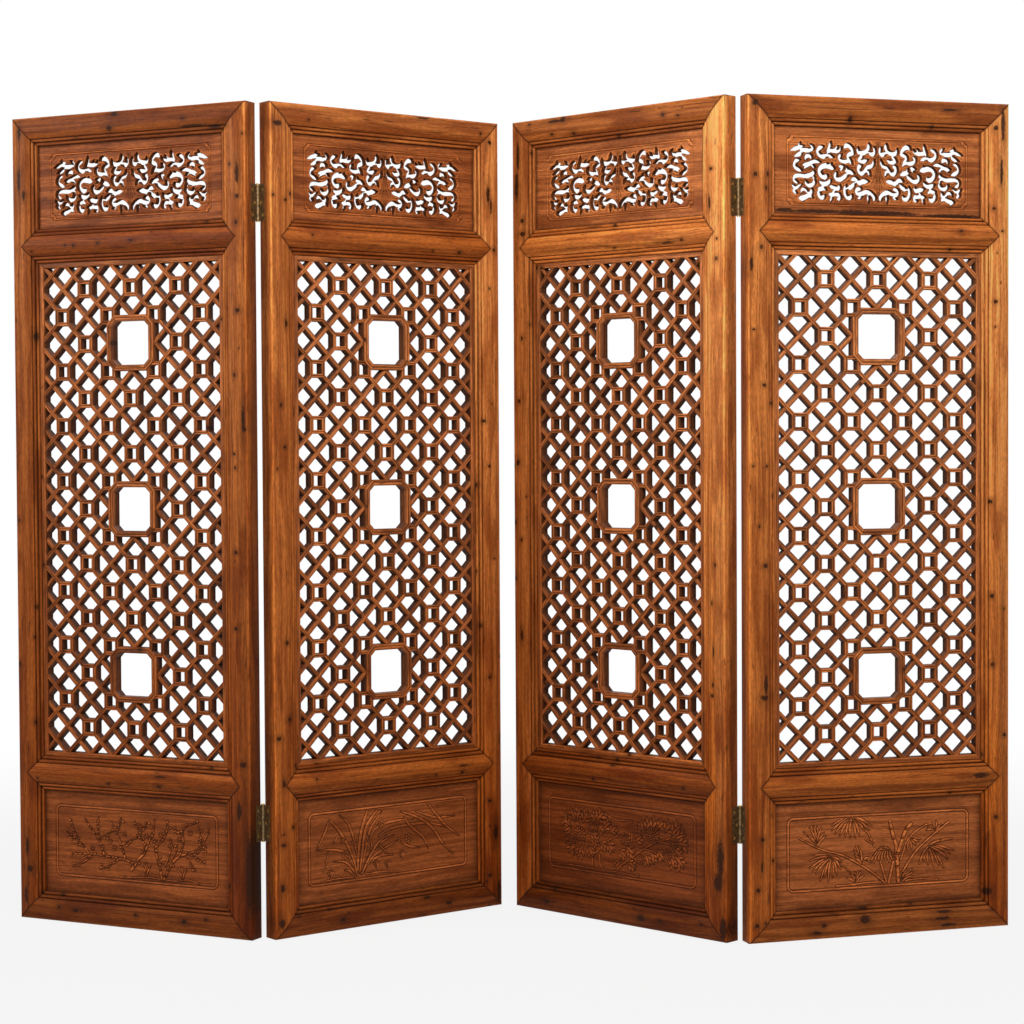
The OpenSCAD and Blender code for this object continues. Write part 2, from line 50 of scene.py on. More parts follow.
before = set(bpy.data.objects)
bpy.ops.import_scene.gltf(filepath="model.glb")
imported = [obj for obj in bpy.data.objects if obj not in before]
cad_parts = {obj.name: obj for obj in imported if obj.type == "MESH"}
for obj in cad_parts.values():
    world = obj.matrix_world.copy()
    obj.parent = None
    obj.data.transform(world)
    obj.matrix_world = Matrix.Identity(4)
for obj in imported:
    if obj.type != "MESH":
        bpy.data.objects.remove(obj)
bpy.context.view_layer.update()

# ---- setting out -------------------------------------------------------------
# Leaves are drawn flat in millimetres, from their lower left front corner:
# X across the leaf, Y the depth behind the frame's crest, Z up.

LEAVES = ("left_outer", "left_inner", "right_inner", "right_outer")
TURNS = (-26, 38, -43.5, 17)
# Where the pins stand beside a left-hand and a right-hand leaf of a pair, and how deep.
PINS, PIN_DEPTH = (627, -2), 51
MITRE_DEPTH, BOARD_FRONT, PIERCED_BACK, CARVED_THICKNESS = 20, 16, 28, 14
# Heights of the middles: the lattice with how far its pattern sits above it, and the boards.
LATTICE_MIDDLE, LATTICE_RISE = 937.5, 4.5
PIERCED_MIDDLE, CARVED_MIDDLE = 1671, 184.5
# The lower left and upper right corners of the carved boards' openings, and half the width and
# height of the pierced field.
CARVED_OPENING, PIERCED_FIELD = ((64, 64), (561, 299)), (209.6, 68.4)
# The windows' places in the lattice, counted in cells, and the width of the sticks round it.
WINDOW_ROWS, STICK_WIDTH = (-6, 0, 6), 12
TAN_22 = math.tan(math.radians(22.5))

# How light each piece's wood is, leaf by leaf, partly its own tone and partly painted light, above
# all the right stiles' painted sheen; every piece is darker towards the floor, in painted shade.
TONES_AND_LIGHT = {
    "left_stile": (0.67, 0.97, 0.95, 1.1), "right_stile": (0.85, 1.45, 1.65, 1.65),
    "top_rail": (0.42, 0.8, 0.68, 0.59), "upper_cross_rail": (0.41, 0.68, 1.17, 0.83),
    "lower_cross_rail": (0.7, 0.88, 0.6, 0.93), "bottom_rail": (0.52, 0.58, 0.43, 0.82),
    "pierced_board": (0.86, 0.94, 1.3, 1.2), "carved_board": (1.3, 1.5, 0.92, 1.7),
    "lattice": (0.85, 1.0, 0.98, 1.06)}
# Knots, burns and stains in each leaf's frame: X and Z of their middles, half their width and
# half their height. Below, the scorched line on the fourth leaf's top board.
FRAME_MARKS = (
    ((270, 1793, 9, 8), (284, 1823, 12, 7), (492, 1784, 46, 4), (546, 1779, 22, 6),
     (20, 1690, 6, 36), (33, 1655, 5, 13), (22, 1795, 6, 16), (606, 1675, 6, 30),
     (606, 1625, 7, 6), (605, 1377, 7, 6), (616, 1140, 5, 34), (618, 1118, 6, 7),
     (593, 1065, 5, 5), (58, 1335, 7, 14), (170, 1535, 5, 4), (237, 1538, 5, 4), (326, 1541, 7, 4),
     (147, 1537, 4, 3), (595, 850, 6, 6), (593, 683, 6, 6), (609, 386, 10, 8), (598, 283, 8, 26),
     (624, 150, 14, 120), (23, 167, 6, 26), (30, 116, 9, 10), (18, 55, 6, 24), (249, 323, 5, 3),
     (386, 325, 9, 4), (391, 346, 20, 3), (110, 32, 5, 5), (156, 29, 10, 5), (321, 32, 6, 5),
     (451, 28, 10, 6), (508, 37, 5, 4)),
    ((37, 1618, 5, 5), (7, 1627, 4, 4), (30, 1079, 5, 5), (37, 1349, 5, 11), (18, 1783, 14, 8),
     (598, 1783, 6, 6), (593, 1662, 6, 24), (601, 1636, 4, 22), (609, 1535, 6, 6),
     (593, 1032, 5, 5), (579, 1137, 6, 5), (32, 651, 6, 7), (38, 482, 7, 7), (10, 442, 7, 6),
     (19, 207, 6, 6), (19, 230, 4, 3), (16, 112, 7, 11), (14, 35, 9, 13), (590, 539, 5, 5),
     (588, 249, 6, 5), (605, 172, 8, 24), (588, 74, 6, 5), (614, 35, 8, 32), (605, 816, 4, 3),
     (512, 339, 16, 3), (174, 23, 9, 5), (142, 50, 5, 3), (407, 44, 13, 4), (467, 25, 11, 5),
     (572, 1802, 4, 4), (409, 1825, 20, 3), (21, 342, 5, 10)),
    ((160, 1822, 10, 8), (135, 1820, 28, 4), (500, 1797, 5, 3), (21, 1750, 6, 42),
     (16, 1680, 8, 42), (33, 1600, 7, 7), (34, 1570, 11, 7), (16, 1040, 8, 10), (21, 1183, 5, 6),
     (30, 1328, 4, 7), (592, 1674, 6, 5), (586, 1602, 5, 24), (607, 1523, 4, 4), (314, 1521, 5, 3),
     (465, 1523, 22, 3), (26, 637, 5, 15), (26, 860, 4, 6), (591, 535, 6, 5), (595, 632, 3, 16),
     (591, 737, 3, 9), (612, 180, 11, 52), (606, 130, 15, 30), (618, 30, 11, 32), (244, 321, 6, 4),
     (253, 370, 4, 3), (302, 357, 9, 3), (121, 53, 6, 6), (100, 23, 13, 5), (386, 23, 13, 9),
     (442, 24, 8, 4), (279, 66, 11, 4)),
    ((16, 1658, 5, 6), (46, 1660, 5, 7), (7, 1467, 5, 19), (12, 1326, 4, 3), (36, 1207, 6, 5),
     (42, 1032, 4, 5), (16, 1811, 9, 9), (240, 1783, 7, 9), (479, 1811, 22, 3), (609, 1780, 6, 48),
     (605, 1680, 5, 42), (587, 1598, 5, 5), (607, 1549, 4, 4), (591, 1393, 6, 6),
     (590, 1337, 3, 3), (579, 950, 6, 6), (549, 1058, 5, 8), (591, 1776, 7, 7), (506, 1547, 6, 4),
     (38, 818, 7, 7), (39, 562, 6, 30), (36, 533, 12, 8), (30, 225, 7, 6), (28, 167, 3, 15),
     (19, 116, 6, 6), (16, 39, 6, 6), (583, 740, 6, 6), (613, 429, 6, 5), (592, 246, 6, 6),
     (572, 80, 14, 11), (553, 341, 24, 8), (272, 37, 16, 12), (270, 62, 15, 5), (174, 29, 8, 5),
     (158, 14, 13, 5), (465, 42, 24, 4), (460, 28, 22, 5), (474, 12, 22, 4)))
SCORCH = ((170, 1584, 100, 5), (330, 1583, 100, 6), (490, 1580, 90, 6), (90, 1585, 30, 6),
          (250, 1583, 60, 7))


def leaf_place(leaf):
    """Where a leaf stands: it turns about the pins of its pair."""
    low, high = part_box("left_hinge_pins" if leaf < 2 else "right_hinge_pins")
    pin = Vector(((low[0] + high[0]) / 2, (low[1] + high[1]) / 2, 0))
    own = Vector((PINS[leaf % 2], PIN_DEPTH, 0))
    turn = Matrix.Rotation(math.radians(TURNS[leaf]), 4, "Z")
    return Matrix.Translation(pin) @ turn @ Matrix.Scale(0.001, 4) @ Matrix.Translation(-own)


def length_property(name, description, value):
    return bpy.props.FloatProperty(
        name=name, description=description, default=value, min=0, unit="LENGTH", precision=4)


def colour_property(name, description, value):
    return bpy.props.FloatVectorProperty(
        name=name, description=description, default=value, min=0, max=1, size=3, subtype="COLOR")


class SCREEN_PG_sizes(bpy.types.PropertyGroup):
    """Sizes of the screen's pieces."""
    leaf_height: length_property("Leaf height", "Height of a leaf", 1.83)
    leaf_width: length_property("Leaf width", "Width of a leaf", 0.625)
    leaf_thickness: length_property("Leaf thickness", "Thickness of a leaf", 0.046)
    frame_width: length_property("Frame width", "Width of stiles and outer rails", 0.064)
    cross_rail_height: length_property("Cross rail height", "Height of a cross rail", 0.076)
    lower_rail: length_property("Lower cross rail", "Height of its middle", 0.337)
    upper_rail: length_property("Upper cross rail", "Height of its middle", 1.538)
    cell: length_property("Lattice cell", "From a cross to the next small square", 0.062)
    square_hole: length_property("Small square", "Clear width of a small square", 0.0225)
    bar_width: length_property("Moulded bar", "Width of the beaded lattice bars", 0.0086)
    cross_bar_width: length_property("Crossing bar", "Width of the bars of the crosses", 0.0096)
    window_hole: length_property("Window", "Clear width of a window", 0.098)
    window_side: length_property("Window frame", "Width of a window's frame", 0.0135)


class SCREEN_PG_colours(bpy.types.PropertyGroup):
    """Colours of the screen's finishes."""
    frame_light: colour_property("Frame, light", "Light bands of the frame's wood",
                                 (0.84, 0.28, 0.064))
    frame_dark: colour_property("Frame, dark", "Dark bands of the frame's wood",
                                (0.3, 0.068, 0.012))
    board_light: colour_property("Boards, light", "Light bands of the carved boards",
                                 (0.5, 0.131, 0.032))
    board_top_light: colour_property("Top boards, light", "Light bands of the pierced boards",
                                     (0.56, 0.16, 0.04))
    board_dark: colour_property("Boards, dark", "Dark bands of the boards", (0.19, 0.043, 0.0095))
    lattice_light: colour_property("Lattice, light", "Ridges of the lattice", (0.62, 0.2, 0.06))
    lattice_dark: colour_property("Lattice, dark", "Sides of the lattice bars", (0.17, 0.05, 0.016))
    # Also the colour of the painted shade in hollows, down the sides of bars and beside the frame,
    # and of knots, cracks and burns.
    dirt_and_shade: colour_property("Dirt and shade", "Dust and old wax in the hollows", (0.03, 0.009, 0.003))
    bronze: colour_property("Hinge plates", "Aged hinge plates", (0.3, 0.2, 0.1))
    brass: colour_property("Hinge pins", "Worn hinge knuckles and pins", (0.85, 0.6, 0.22))
    floor: colour_property("Floor", "Pale floor", (0.5, 0.5, 0.5))


def size(name):
    """A size in millimetres."""
    return getattr(bpy.context.scene.screen_sizes, name) * 1000


def colour(name):
    return (*getattr(bpy.context.scene.screen_colours, name), 1)


# ---- at the bench --------------------------------------------------------------

def put_down_all():
    """Nothing selected and no mode but object mode, so an operator acts on its own piece."""
    if bpy.context.object and bpy.context.object.mode != "OBJECT":
        bpy.ops.object.mode_set(mode="OBJECT")
    bpy.ops.object.select_all(action="DESELECT")


def pick_up(piece):
    put_down_all()
    piece.select_set(True)
    bpy.context.view_layer.objects.active = piece


def linked(name, data):
    """A new object in the scene."""
    item = bpy.data.objects.new(name, data)
    bpy.context.scene.collection.objects.link(item)
    return item


def edited(piece, *steps):
    """Takes a piece through steps of editing, each with all of it selected."""
    pick_up(piece)
    bpy.ops.object.mode_set(mode="EDIT")
    for step in steps:
        bpy.ops.mesh.select_all(action="SELECT")
        step()
    bpy.ops.object.mode_set(mode="OBJECT")
    return piece


def face_outwards():
    bpy.ops.mesh.normals_make_consistent(inside=False)


def pulled_section(name, points, length):
    """Draws a section as a flat outline and pulls it out along Z by its length."""
    put_down_all()
    bpy.ops.mesh.primitive_circle_add(vertices=len(points), fill_type="NGON")
    piece = bpy.context.object
    piece.name = name
    for vertex, point in zip(piece.data.vertices, points):
        vertex.co = (*point, 0)
    return edited(piece, lambda: bpy.ops.mesh.extrude_region_move(
        TRANSFORM_OT_translate={"value": (0, 0, length)}), face_outwards)


def laid_down(piece, start=0):
    """Lays a pulled section down along X."""
    piece.data.transform(Matrix(((0, 0, 1, start), (0, 1, 0, 0), (1, 0, 0, 0), (0, 0, 0, 1))))
    piece.data.flip_normals()
    return piece


def cut_away(piece, outline, front, back):
    """Cuts a block out of the piece: its outline is in X and Z, and it runs from front to back."""
    tool = pulled_section("tool", outline, back - front)
    tool.data.transform(Matrix(((1, 0, 0, 0), (0, 0, 1, front), (0, 1, 0, 0), (0, 0, 0, 1))))
    tool.data.flip_normals()
    pick_up(piece)
    cut = piece.modifiers.new("cut", "BOOLEAN")
    cut.object = tool
    cut.operation = "DIFFERENCE"
    cut.solver = "EXACT"
    bpy.ops.object.modifier_apply(modifier=cut.name)
    bpy.data.objects.remove(tool)
    edited(piece, lambda: bpy.ops.mesh.remove_doubles(threshold=0.005))


def smooth_over(piece, angle):
    pick_up(piece)
    bpy.ops.object.shade_smooth_by_angle(angle=math.radians(angle))


def set_mask(mesh, name, values):
    layer = mesh.attributes.new(name, "FLOAT", "POINT")
    layer.data.foreach_set("value", np.asarray(values, dtype=np.float32))


def set_points(mesh, name, values):
    layer = mesh.attributes.new(name, "FLOAT_VECTOR", "POINT")
    layer.data.foreach_set("vector", np.asarray(values, dtype=np.float32).ravel())


def points_of(mesh):
    points = np.empty(len(mesh.vertices) * 3, dtype=np.float32)
    mesh.vertices.foreach_get("co", points)
    return points.reshape(-1, 3)


def shifted_grain(mesh, leaf, seed):
    """Every leaf is cut from other wood: its figure starts somewhere else."""
    layer = mesh.attributes["grain"]
    grain = np.empty(len(mesh.vertices) * 3, dtype=np.float32)
    layer.data.foreach_get("vector", grain)
    chance = random.Random(seed * 11 + leaf)
    step = np.array([chance.uniform(0, reach) for reach in (3000, 900, 900)], dtype=np.float32)
    layer.data.foreach_set("vector", (grain.reshape(-1, 3) + step).ravel())


def tones_and_light(part, leaf, height):
    """Factors for the colour of a part's wood at each height, of which the top of a leaf is 1:
    darker, and on most parts redder, towards the floor. This is painted shade where the light falls
    off towards the floor; on the right stiles it is steeper, below their painted sheen."""
    tone_and_light = TONES_AND_LIGHT.get(part, TONES_AND_LIGHT["lattice"])[leaf]
    if part == "right_stile":
        tone_and_light = tone_and_light * np.minimum(1, 0.3 + 1.4 * height)
        red = np.clip(1.6 - height / 0.5, 0, 1.5)
    else:
        tone_and_light = tone_and_light * (0.68 + 0.32 * height)
        red = np.clip(1 - height / 0.55, 0, 1)
    if part.endswith("board") or part == "bottom_rail":
        red = 0
    elif part == "upper_cross_rail":
        red = 0.5
    return np.stack([tone_and_light, tone_and_light ** 1.3 * (1 - 0.16 * red), tone_and_light ** 1.6 * (1 - 0.42 * red)], axis=1)


def stand_in_leaf(mesh, leaf, part, ending, material, shape=None):
    """Puts a copy of a finished mesh into its leaf, in place of the CAD node of its part."""
    node = f"{LEAVES[leaf]}_{part}"
    name = f"{node}_{ending}"
    own = mesh.copy()
    own.name = name
    if shape is not None:
        own.transform(shape)
        if shape.determinant() < 0:
            own.flip_normals()
    shifted_grain(own, leaf, len(name))
    set_points(own, "place", points_of(own))
    set_points(own, "tone_and_light", tones_and_light(part, leaf, points_of(own)[:, 2] / size("leaf_height")))
    own.transform(leaf_place(leaf))
    own.materials.clear()
    own.materials.append(material)
    piece = linked(name, own)
    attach(piece, LEAVES[leaf])
    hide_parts(node)


def clear_bench(*pieces):
    for piece in pieces:
        mesh = piece.data
        bpy.data.objects.remove(piece)
        bpy.data.meshes.remove(mesh)


def stand_in_leaves(piece, part, ending, finishes, x=0.0, z=0.0):
    """Moves a piece from the bench to its place and puts it into all four leaves."""
    piece.data.transform(Matrix.Translation((x, 0, z)))
    for leaf, finish in enumerate(finishes):
        stand_in_leaf(piece.data, leaf, part, ending, finish)
    clear_bench(piece)


# ---- finishes -------------------------------------------------------------------

class Nodes:
    """Builds one node tree. A value is a number, a colour or another node's output."""

    def __init__(self, tree):
        self.tree = tree

    def fill(self, node, inputs):
        """Links or sets inputs of a node."""
        for socket, value in dict(inputs).items():
            if isinstance(value, bpy.types.NodeSocket):
                self.tree.links.new(value, node.inputs[socket])
            else:
                node.inputs[socket].default_value = value

    def add(self, kind, inputs=(), **settings):
        node = self.tree.nodes.new(kind)
        for name, value in settings.items():
            setattr(node, name, value)
        self.fill(node, inputs)
        return node

    def math(self, operation, *values):
        return self.add("ShaderNodeMath", enumerate(values), operation=operation).outputs[0]

    def plus(self, one, other):
        return self.math("ADD", one, other)

    def minus(self, one, other):
        return self.math("SUBTRACT", one, other)

    def times(self, one, other):
        return self.math("MULTIPLY", one, other)

    def apart(self, one, other):
        return self.math("ABSOLUTE", self.minus(one, other))

    def least(self, one, other):
        return self.math("MINIMUM", one, other)

    def most(self, first, *others):
        for other in others:
            first = self.math("MAXIMUM", first, other)
        return first

    def ramp(self, value, low, high, start=0.0, end=1.0):
        """Values from low to high become values from start to end, and stay there beyond."""
        return self.add("ShaderNodeMapRange", {0: value, 1: low, 2: high, 3: start, 4: end},
                        interpolation_type="SMOOTHSTEP").outputs[0]

    def mixed(self, factor, one, other, blend="MIX"):
        return self.add("ShaderNodeMix", {0: factor, 6: one, 7: other},
                        data_type="RGBA", blend_type=blend).outputs[2]

    def stretched(self, points, across, along):
        """Grain points stretched along the wood: one unit is a mark's width and its length."""
        return self.scaled(points, (1 / along, 1 / across, 1 / across))

    def scaled(self, points, scale):
        return self.add("ShaderNodeMapping", {"Vector": points, "Scale": scale}).outputs[0]

    def cloud(self, points, detail=2.0, roughness=0.5, scale=1.0):
        return self.add("ShaderNodeTexNoise", {
            "Vector": points, "Scale": scale, "Detail": detail,
            "Roughness": roughness}).outputs["Fac"]

    def bump(self, height, strength, distance):
        return self.add("ShaderNodeBump", {
            "Height": height, "Strength": strength, "Distance": distance}).outputs[0]


def new_finish(name):
    """A material, its nodes and its shader."""
    material = bpy.data.materials.new(name)
    material.use_nodes = True
    return material, Nodes(material.node_tree), material.node_tree.nodes["Principled BSDF"]


def wood_group():
    """Figure of straight-grained waxed fir: bands, fine lines, streaks, small knots and pores."""
    if "Wood figure" in bpy.data.node_groups:
        return bpy.data.node_groups["Wood figure"]
    group = bpy.data.node_groups.new("Wood figure", "ShaderNodeTree")
    for way, kind, names in (
            ("INPUT", "Vector", ("Grain",)),
            ("INPUT", "Color", ("Light", "Dark", "Dirt and shade colour", "Tone and light")),
            ("INPUT", "Float", ("Wear and highlight", "Dirt and shade", "Marks", "Streaks", "Spots")),
            ("OUTPUT", "Color", ("Color",)), ("OUTPUT", "Float", ("Roughness", "Height"))):
        for name in names:
            group.interface.new_socket(name, in_out=way, socket_type="NodeSocket" + kind)
    n = Nodes(group)
    given = group.nodes.new("NodeGroupInput").outputs
    grain = given["Grain"]

    waver = n.cloud(n.stretched(grain, 60, 260), 1)
    sway = n.add("ShaderNodeCombineXYZ", {"Y": n.times(waver, 22.0), "Z": n.times(waver, 16.0)})
    bent = n.add("ShaderNodeVectorMath", {0: grain, 1: sway.outputs[0]},
                 operation="ADD").outputs[0]

    bands = n.cloud(n.stretched(bent, 9, 380), 2, 0.6)
    lines = n.cloud(n.stretched(bent, 1.7, 190), 2, 0.7)
    fine = n.plus(0.6, n.times(given["Streaks"], n.minus(n.ramp(lines, 0.38, 0.58), 0.6)))
    light = n.plus(n.times(n.ramp(bands, 0.36, 0.64), 0.55), n.times(fine, 0.45))
    wood = n.mixed(light, given["Dark"], given["Light"])
    blotches = n.ramp(n.cloud(n.stretched(grain, 38, 190)), 0.48, 0.66)
    wood = n.mixed(n.times(blotches, 0.75), wood, given["Dark"])
    # The tone also carries painted light: the right stiles' sheen, and shade towards the floor.
    wood = n.mixed(1.0, wood, given["Tone and light"], "MULTIPLY")
    mottle = n.ramp(n.cloud(n.stretched(grain, 3, 11)), 0.3, 0.7, 0.84, 1.16)
    wood = n.mixed(1.0, wood, mottle, "MULTIPLY")
    # Wear lightens the wood; the same mask paints highlights on ridges, bead tops and arrises.
    worn_and_highlit = n.mixed(1.0, wood, (1.9, 1.9, 1.8, 1), "MULTIPLY")
    patches = n.ramp(n.cloud(n.stretched(grain, 5, 30)), 0.22, 0.58)
    wood = n.mixed(n.times(given["Wear and highlight"], patches), wood, worn_and_highlit)

    knots = n.add("ShaderNodeTexVoronoi", {
        "Vector": n.stretched(bent, 50, 66), "Scale": 1.0, "Randomness": 1.0},
        feature="F1", voronoi_dimensions="2D")
    pick = n.add("ShaderNodeSeparateColor", {0: knots.outputs["Color"]}).outputs[0]
    reach = n.most(n.ramp(pick, 0.72, 1.0, 0.0, 0.09), 0.001)
    near = n.math("DIVIDE", knots.outputs["Distance"], reach)
    cracks = n.ramp(n.cloud(n.stretched(bent, 2.4, 420), 1), 0.65, 0.71)
    smudges = n.ramp(n.cloud(n.stretched(bent, 7, 60), 3, 0.6), 0.62, 0.72)
    marks = n.times(given["Marks"], n.most(
        n.times(cracks, 0.65), n.times(n.ramp(near, 3.4, 0.9), 0.35),
        n.times(smudges, 0.62), n.times(n.ramp(near, 1.15, 0.75), 0.88)))
    ragged = n.times(n.minus(n.cloud(n.stretched(bent, 2.5, 9), 2, 0.6), 0.5), 1.3)
    spot = n.plus(given["Spots"], ragged)
    marks = n.most(marks, n.times(n.ramp(spot, 1.2, 0.5), 0.95),
                   n.times(n.ramp(spot, 2.8, 1.0), 0.3))
    wood = n.mixed(marks, wood, given["Dirt and shade colour"])
    # Dirt darkens the wood; the same mask paints shade in hollows, down the sides of bars and
    # openings, and beside the frame.
    ragged = n.times(n.minus(n.cloud(n.stretched(grain, 4, 14)), 0.5), 0.35)
    grime_and_shade = n.times(n.ramp(n.plus(given["Dirt and shade"], ragged), 0.12, 1.0), 0.93)
    wood = n.mixed(grime_and_shade, wood, given["Dirt and shade colour"])
    wood = n.mixed(1.0, wood, (0.92, 0.92, 0.92, 1), "DARKEN")

    rough = n.plus(n.ramp(lines, 0.3, 0.7, 0.52, 0.38), n.times(grime_and_shade, 0.3))
    fibres = n.cloud(n.stretched(bent, 0.5, 22), 1)
    height = n.plus(n.times(lines, 0.6), n.times(fibres, 0.4))
    height = n.minus(height, n.times(marks, 0.4))
    n.add("NodeGroupOutput", {"Color": wood, "Roughness": rough, "Height": height})
    return group


def nearest_mark(n, place, marks):
    """How far from the nearest mark a point of a leaf is, in half widths and heights of it."""
    nearest = 9.0
    for x, z, half_w, half_h in marks:
        way = n.add("ShaderNodeVectorMath", {
            0: place, 1: (1 / half_w, 0, 1 / half_h), 2: (-x / half_w, 0, -z / half_h)},
            operation="MULTIPLY_ADD")
        away = n.add("ShaderNodeVectorMath", {0: way.outputs[0]}, operation="LENGTH")
        nearest = n.least(nearest, away.outputs["Value"])
    return nearest


def wood_finish(name, light, dark, joints=False, marks=1.0, streaks=1.0, spots=()):
    """A waxed wood whose figure follows each piece's grain, with wear and painted highlights, and
    dirt and painted shade, by its shape.
    """
    material, n, shader = new_finish(name)

    def own(attribute, output="Fac"):
        return n.add("ShaderNodeAttribute", attribute_name=attribute).outputs[output]

    place = own("place", "Vector")
    dirt_and_shade = n.most(own("dirt_and_shade"), joint_lines(n, place)) if joints else own("dirt_and_shade")
    figure = n.add("ShaderNodeGroup", {
        "Grain": own("grain", "Vector"), "Light": colour(light), "Dark": colour(dark),
        "Dirt and shade colour": colour("dirt_and_shade"), "Tone and light": own("tone_and_light", "Color"), "Wear and highlight": own("wear_and_highlight"),
        "Dirt and shade": dirt_and_shade, "Marks": marks, "Streaks": streaks,
        "Spots": nearest_mark(n, place, spots)}, node_tree=wood_group()).outputs
    n.fill(shader, {"Base Color": figure["Color"], "Roughness": figure["Roughness"],
                    "Normal": n.bump(figure["Height"], 0.22, 0.0005), "Specular IOR Level": 0.1})
    return material


def joint_lines(n, place):
    """Dark lines where the mitres of the frame meet, and the grime that gathers beside them."""
    def seam(one, other):
        away = n.apart(one, other)
        return n.most(n.ramp(away, 2.8, 0.8, 0, 0.9), n.ramp(away, 12, 1, 0, 0.42))

    x, y, z = n.add("ShaderNodeSeparateXYZ", {0: place}).outputs
    edge = size("frame_width")
    side = n.least(x, n.minus(size("leaf_width"), x))
    end = n.least(z, n.minus(size("leaf_height"), z))
    lines = n.times(seam(side, end), n.ramp(end, edge + 1, edge - 1))
    notch = size("cross_rail_height") / 2
    depth = n.minus(edge, side)
    for rail in ("lower_rail", "upper_rail"):
        away = n.apart(z, size(rail))
        lines = n.most(lines, n.times(seam(n.plus(away, depth), notch), n.ramp(depth, -0.5, 0.5)))
    return n.times(lines, n.ramp(y, MITRE_DEPTH + 1, MITRE_DEPTH - 1))


def metal_finish(name, base, roughness, tarnish):
    """Old metal with tarnish in patches and fine scratches."""
    material, n, shader = new_finish(name)
    place = n.add("ShaderNodeTexCoord").outputs["Object"]
    patches = n.cloud(place, 5, 0.65, 160)
    scratches = n.cloud(n.scaled(place, (900, 900, 60)))
    n.fill(shader, {
        "Base Color": n.mixed(n.times(n.ramp(patches, 0.4, 0.68), tarnish),
                              colour(base), (0.05, 0.033, 0.02, 1)),
        "Roughness": n.ramp(patches, 0.35, 0.7, roughness, roughness + 0.25),
        "Normal": n.bump(n.plus(patches, scratches), 0.3, 0.0002), "Metallic": 1})
    return material


# ---- frame ------------------------------------------------------------------------
# Sections are drawn from the opening outwards: the distance from its edge and the depth.

def bead(edge, flat):
    """A half-round bead, 6.5 mm wide and 2.5 mm high."""
    turns = [math.pi * k / 8 for k in range(9)]
    return [(edge + 3.25 * (1 - math.cos(a)), flat - 2.5 * math.sin(a)) for a in turns]


def face_section():
    """Two stepped beads beside the opening, then the soft rise to the crest."""
    rise = [(16 + 22 * k / 7, 4.5 * (1 - k / 7) ** 2) for k in range(8)]
    return bead(0, 12) + [(8, 12)] + bead(8, 8) + [(16, 8)] + rise


def outer_section():
    """Section of a stile or an outer rail."""
    fall = [(38 + 21 * k / 5, 2 * (k / 5) ** 2) for k in range(1, 6)]
    turns = [math.pi * k / 12 for k in range(1, 7)]
    arris = [(59 + 5 * math.sin(a), 2 + 5 * (1 - math.cos(a))) for a in turns]
    back = size("leaf_thickness")
    return face_section() + fall + arris + [(64, back - 1.5), (62.5, back), (0, back)]


def cross_section():
    """Section of a cross rail, which has an opening on both sides."""
    half = face_section()
    back = size("leaf_thickness")
    return half + [(76 - t, y) for t, y in half[-2::-1]] + [(76, back), (0, back)]


def frame_masks(t, y):
    """Wear and dirt at a point of a frame member's section, with painted light in both: a highlight
    along the front arris, and shade in the quirks of the beads and on the back part of the edges.
    """
    # Behind the front: painted shade growing towards the back of the outer edge and of the
    # opening's side.
    if y > 15:
        return 0, 0.45 if t > 63.5 or t < 20 else 0.1
    # The beads: a little wear with a painted highlight on their tops, and painted shade in the
    # quirks at their feet.
    if t < 15.99 or (t < 16.01 and y > 6):
        flat, most = (12, 0.15) if t < 7.9 else (8, 0.05)
        up = max(0, min(1, (flat - y) / 2.5))
        return up * most, 0.15 + 0.42 * (1 - up) ** 1.7
    # The step up to the rise and the foot of the rise: painted shade.
    if t < 17:
        return 0.15, 0.3
    if t < 24:
        return 0.1, 0.12
    # The front arris: a bright line of wear and painted highlight.
    if t > 56:
        return (1.0 if 61 < t < 63.5 and y < 5.5 else 0.15), 0
    return 0.05, 0


def masked_member(piece, along, from_edge, lit=lambda p: 0):
    """Gives a frame member its grain and its masks; from_edge is the distance from the opening, and
    lit is 1 where its face looks up, -1 where it looks down: it adds a painted highlight to the
    wear where it is 1, and painted shade to the dirt where it is -1."""
    points = points_of(piece.data)
    set_points(piece.data, "grain", points[:, [2, 0, 1] if along == "Z" else [0, 2, 1]])
    masks = [frame_masks(from_edge(p), p[1]) for p in points]
    set_mask(piece.data, "wear_and_highlight", [max(m[0], 0.3 * lit(p)) for m, p in zip(masks, points)])
    set_mask(piece.data, "dirt_and_shade", [max(m[1], -0.4 * lit(p)) for m, p in zip(masks, points)])
    smooth_over(piece, 32)


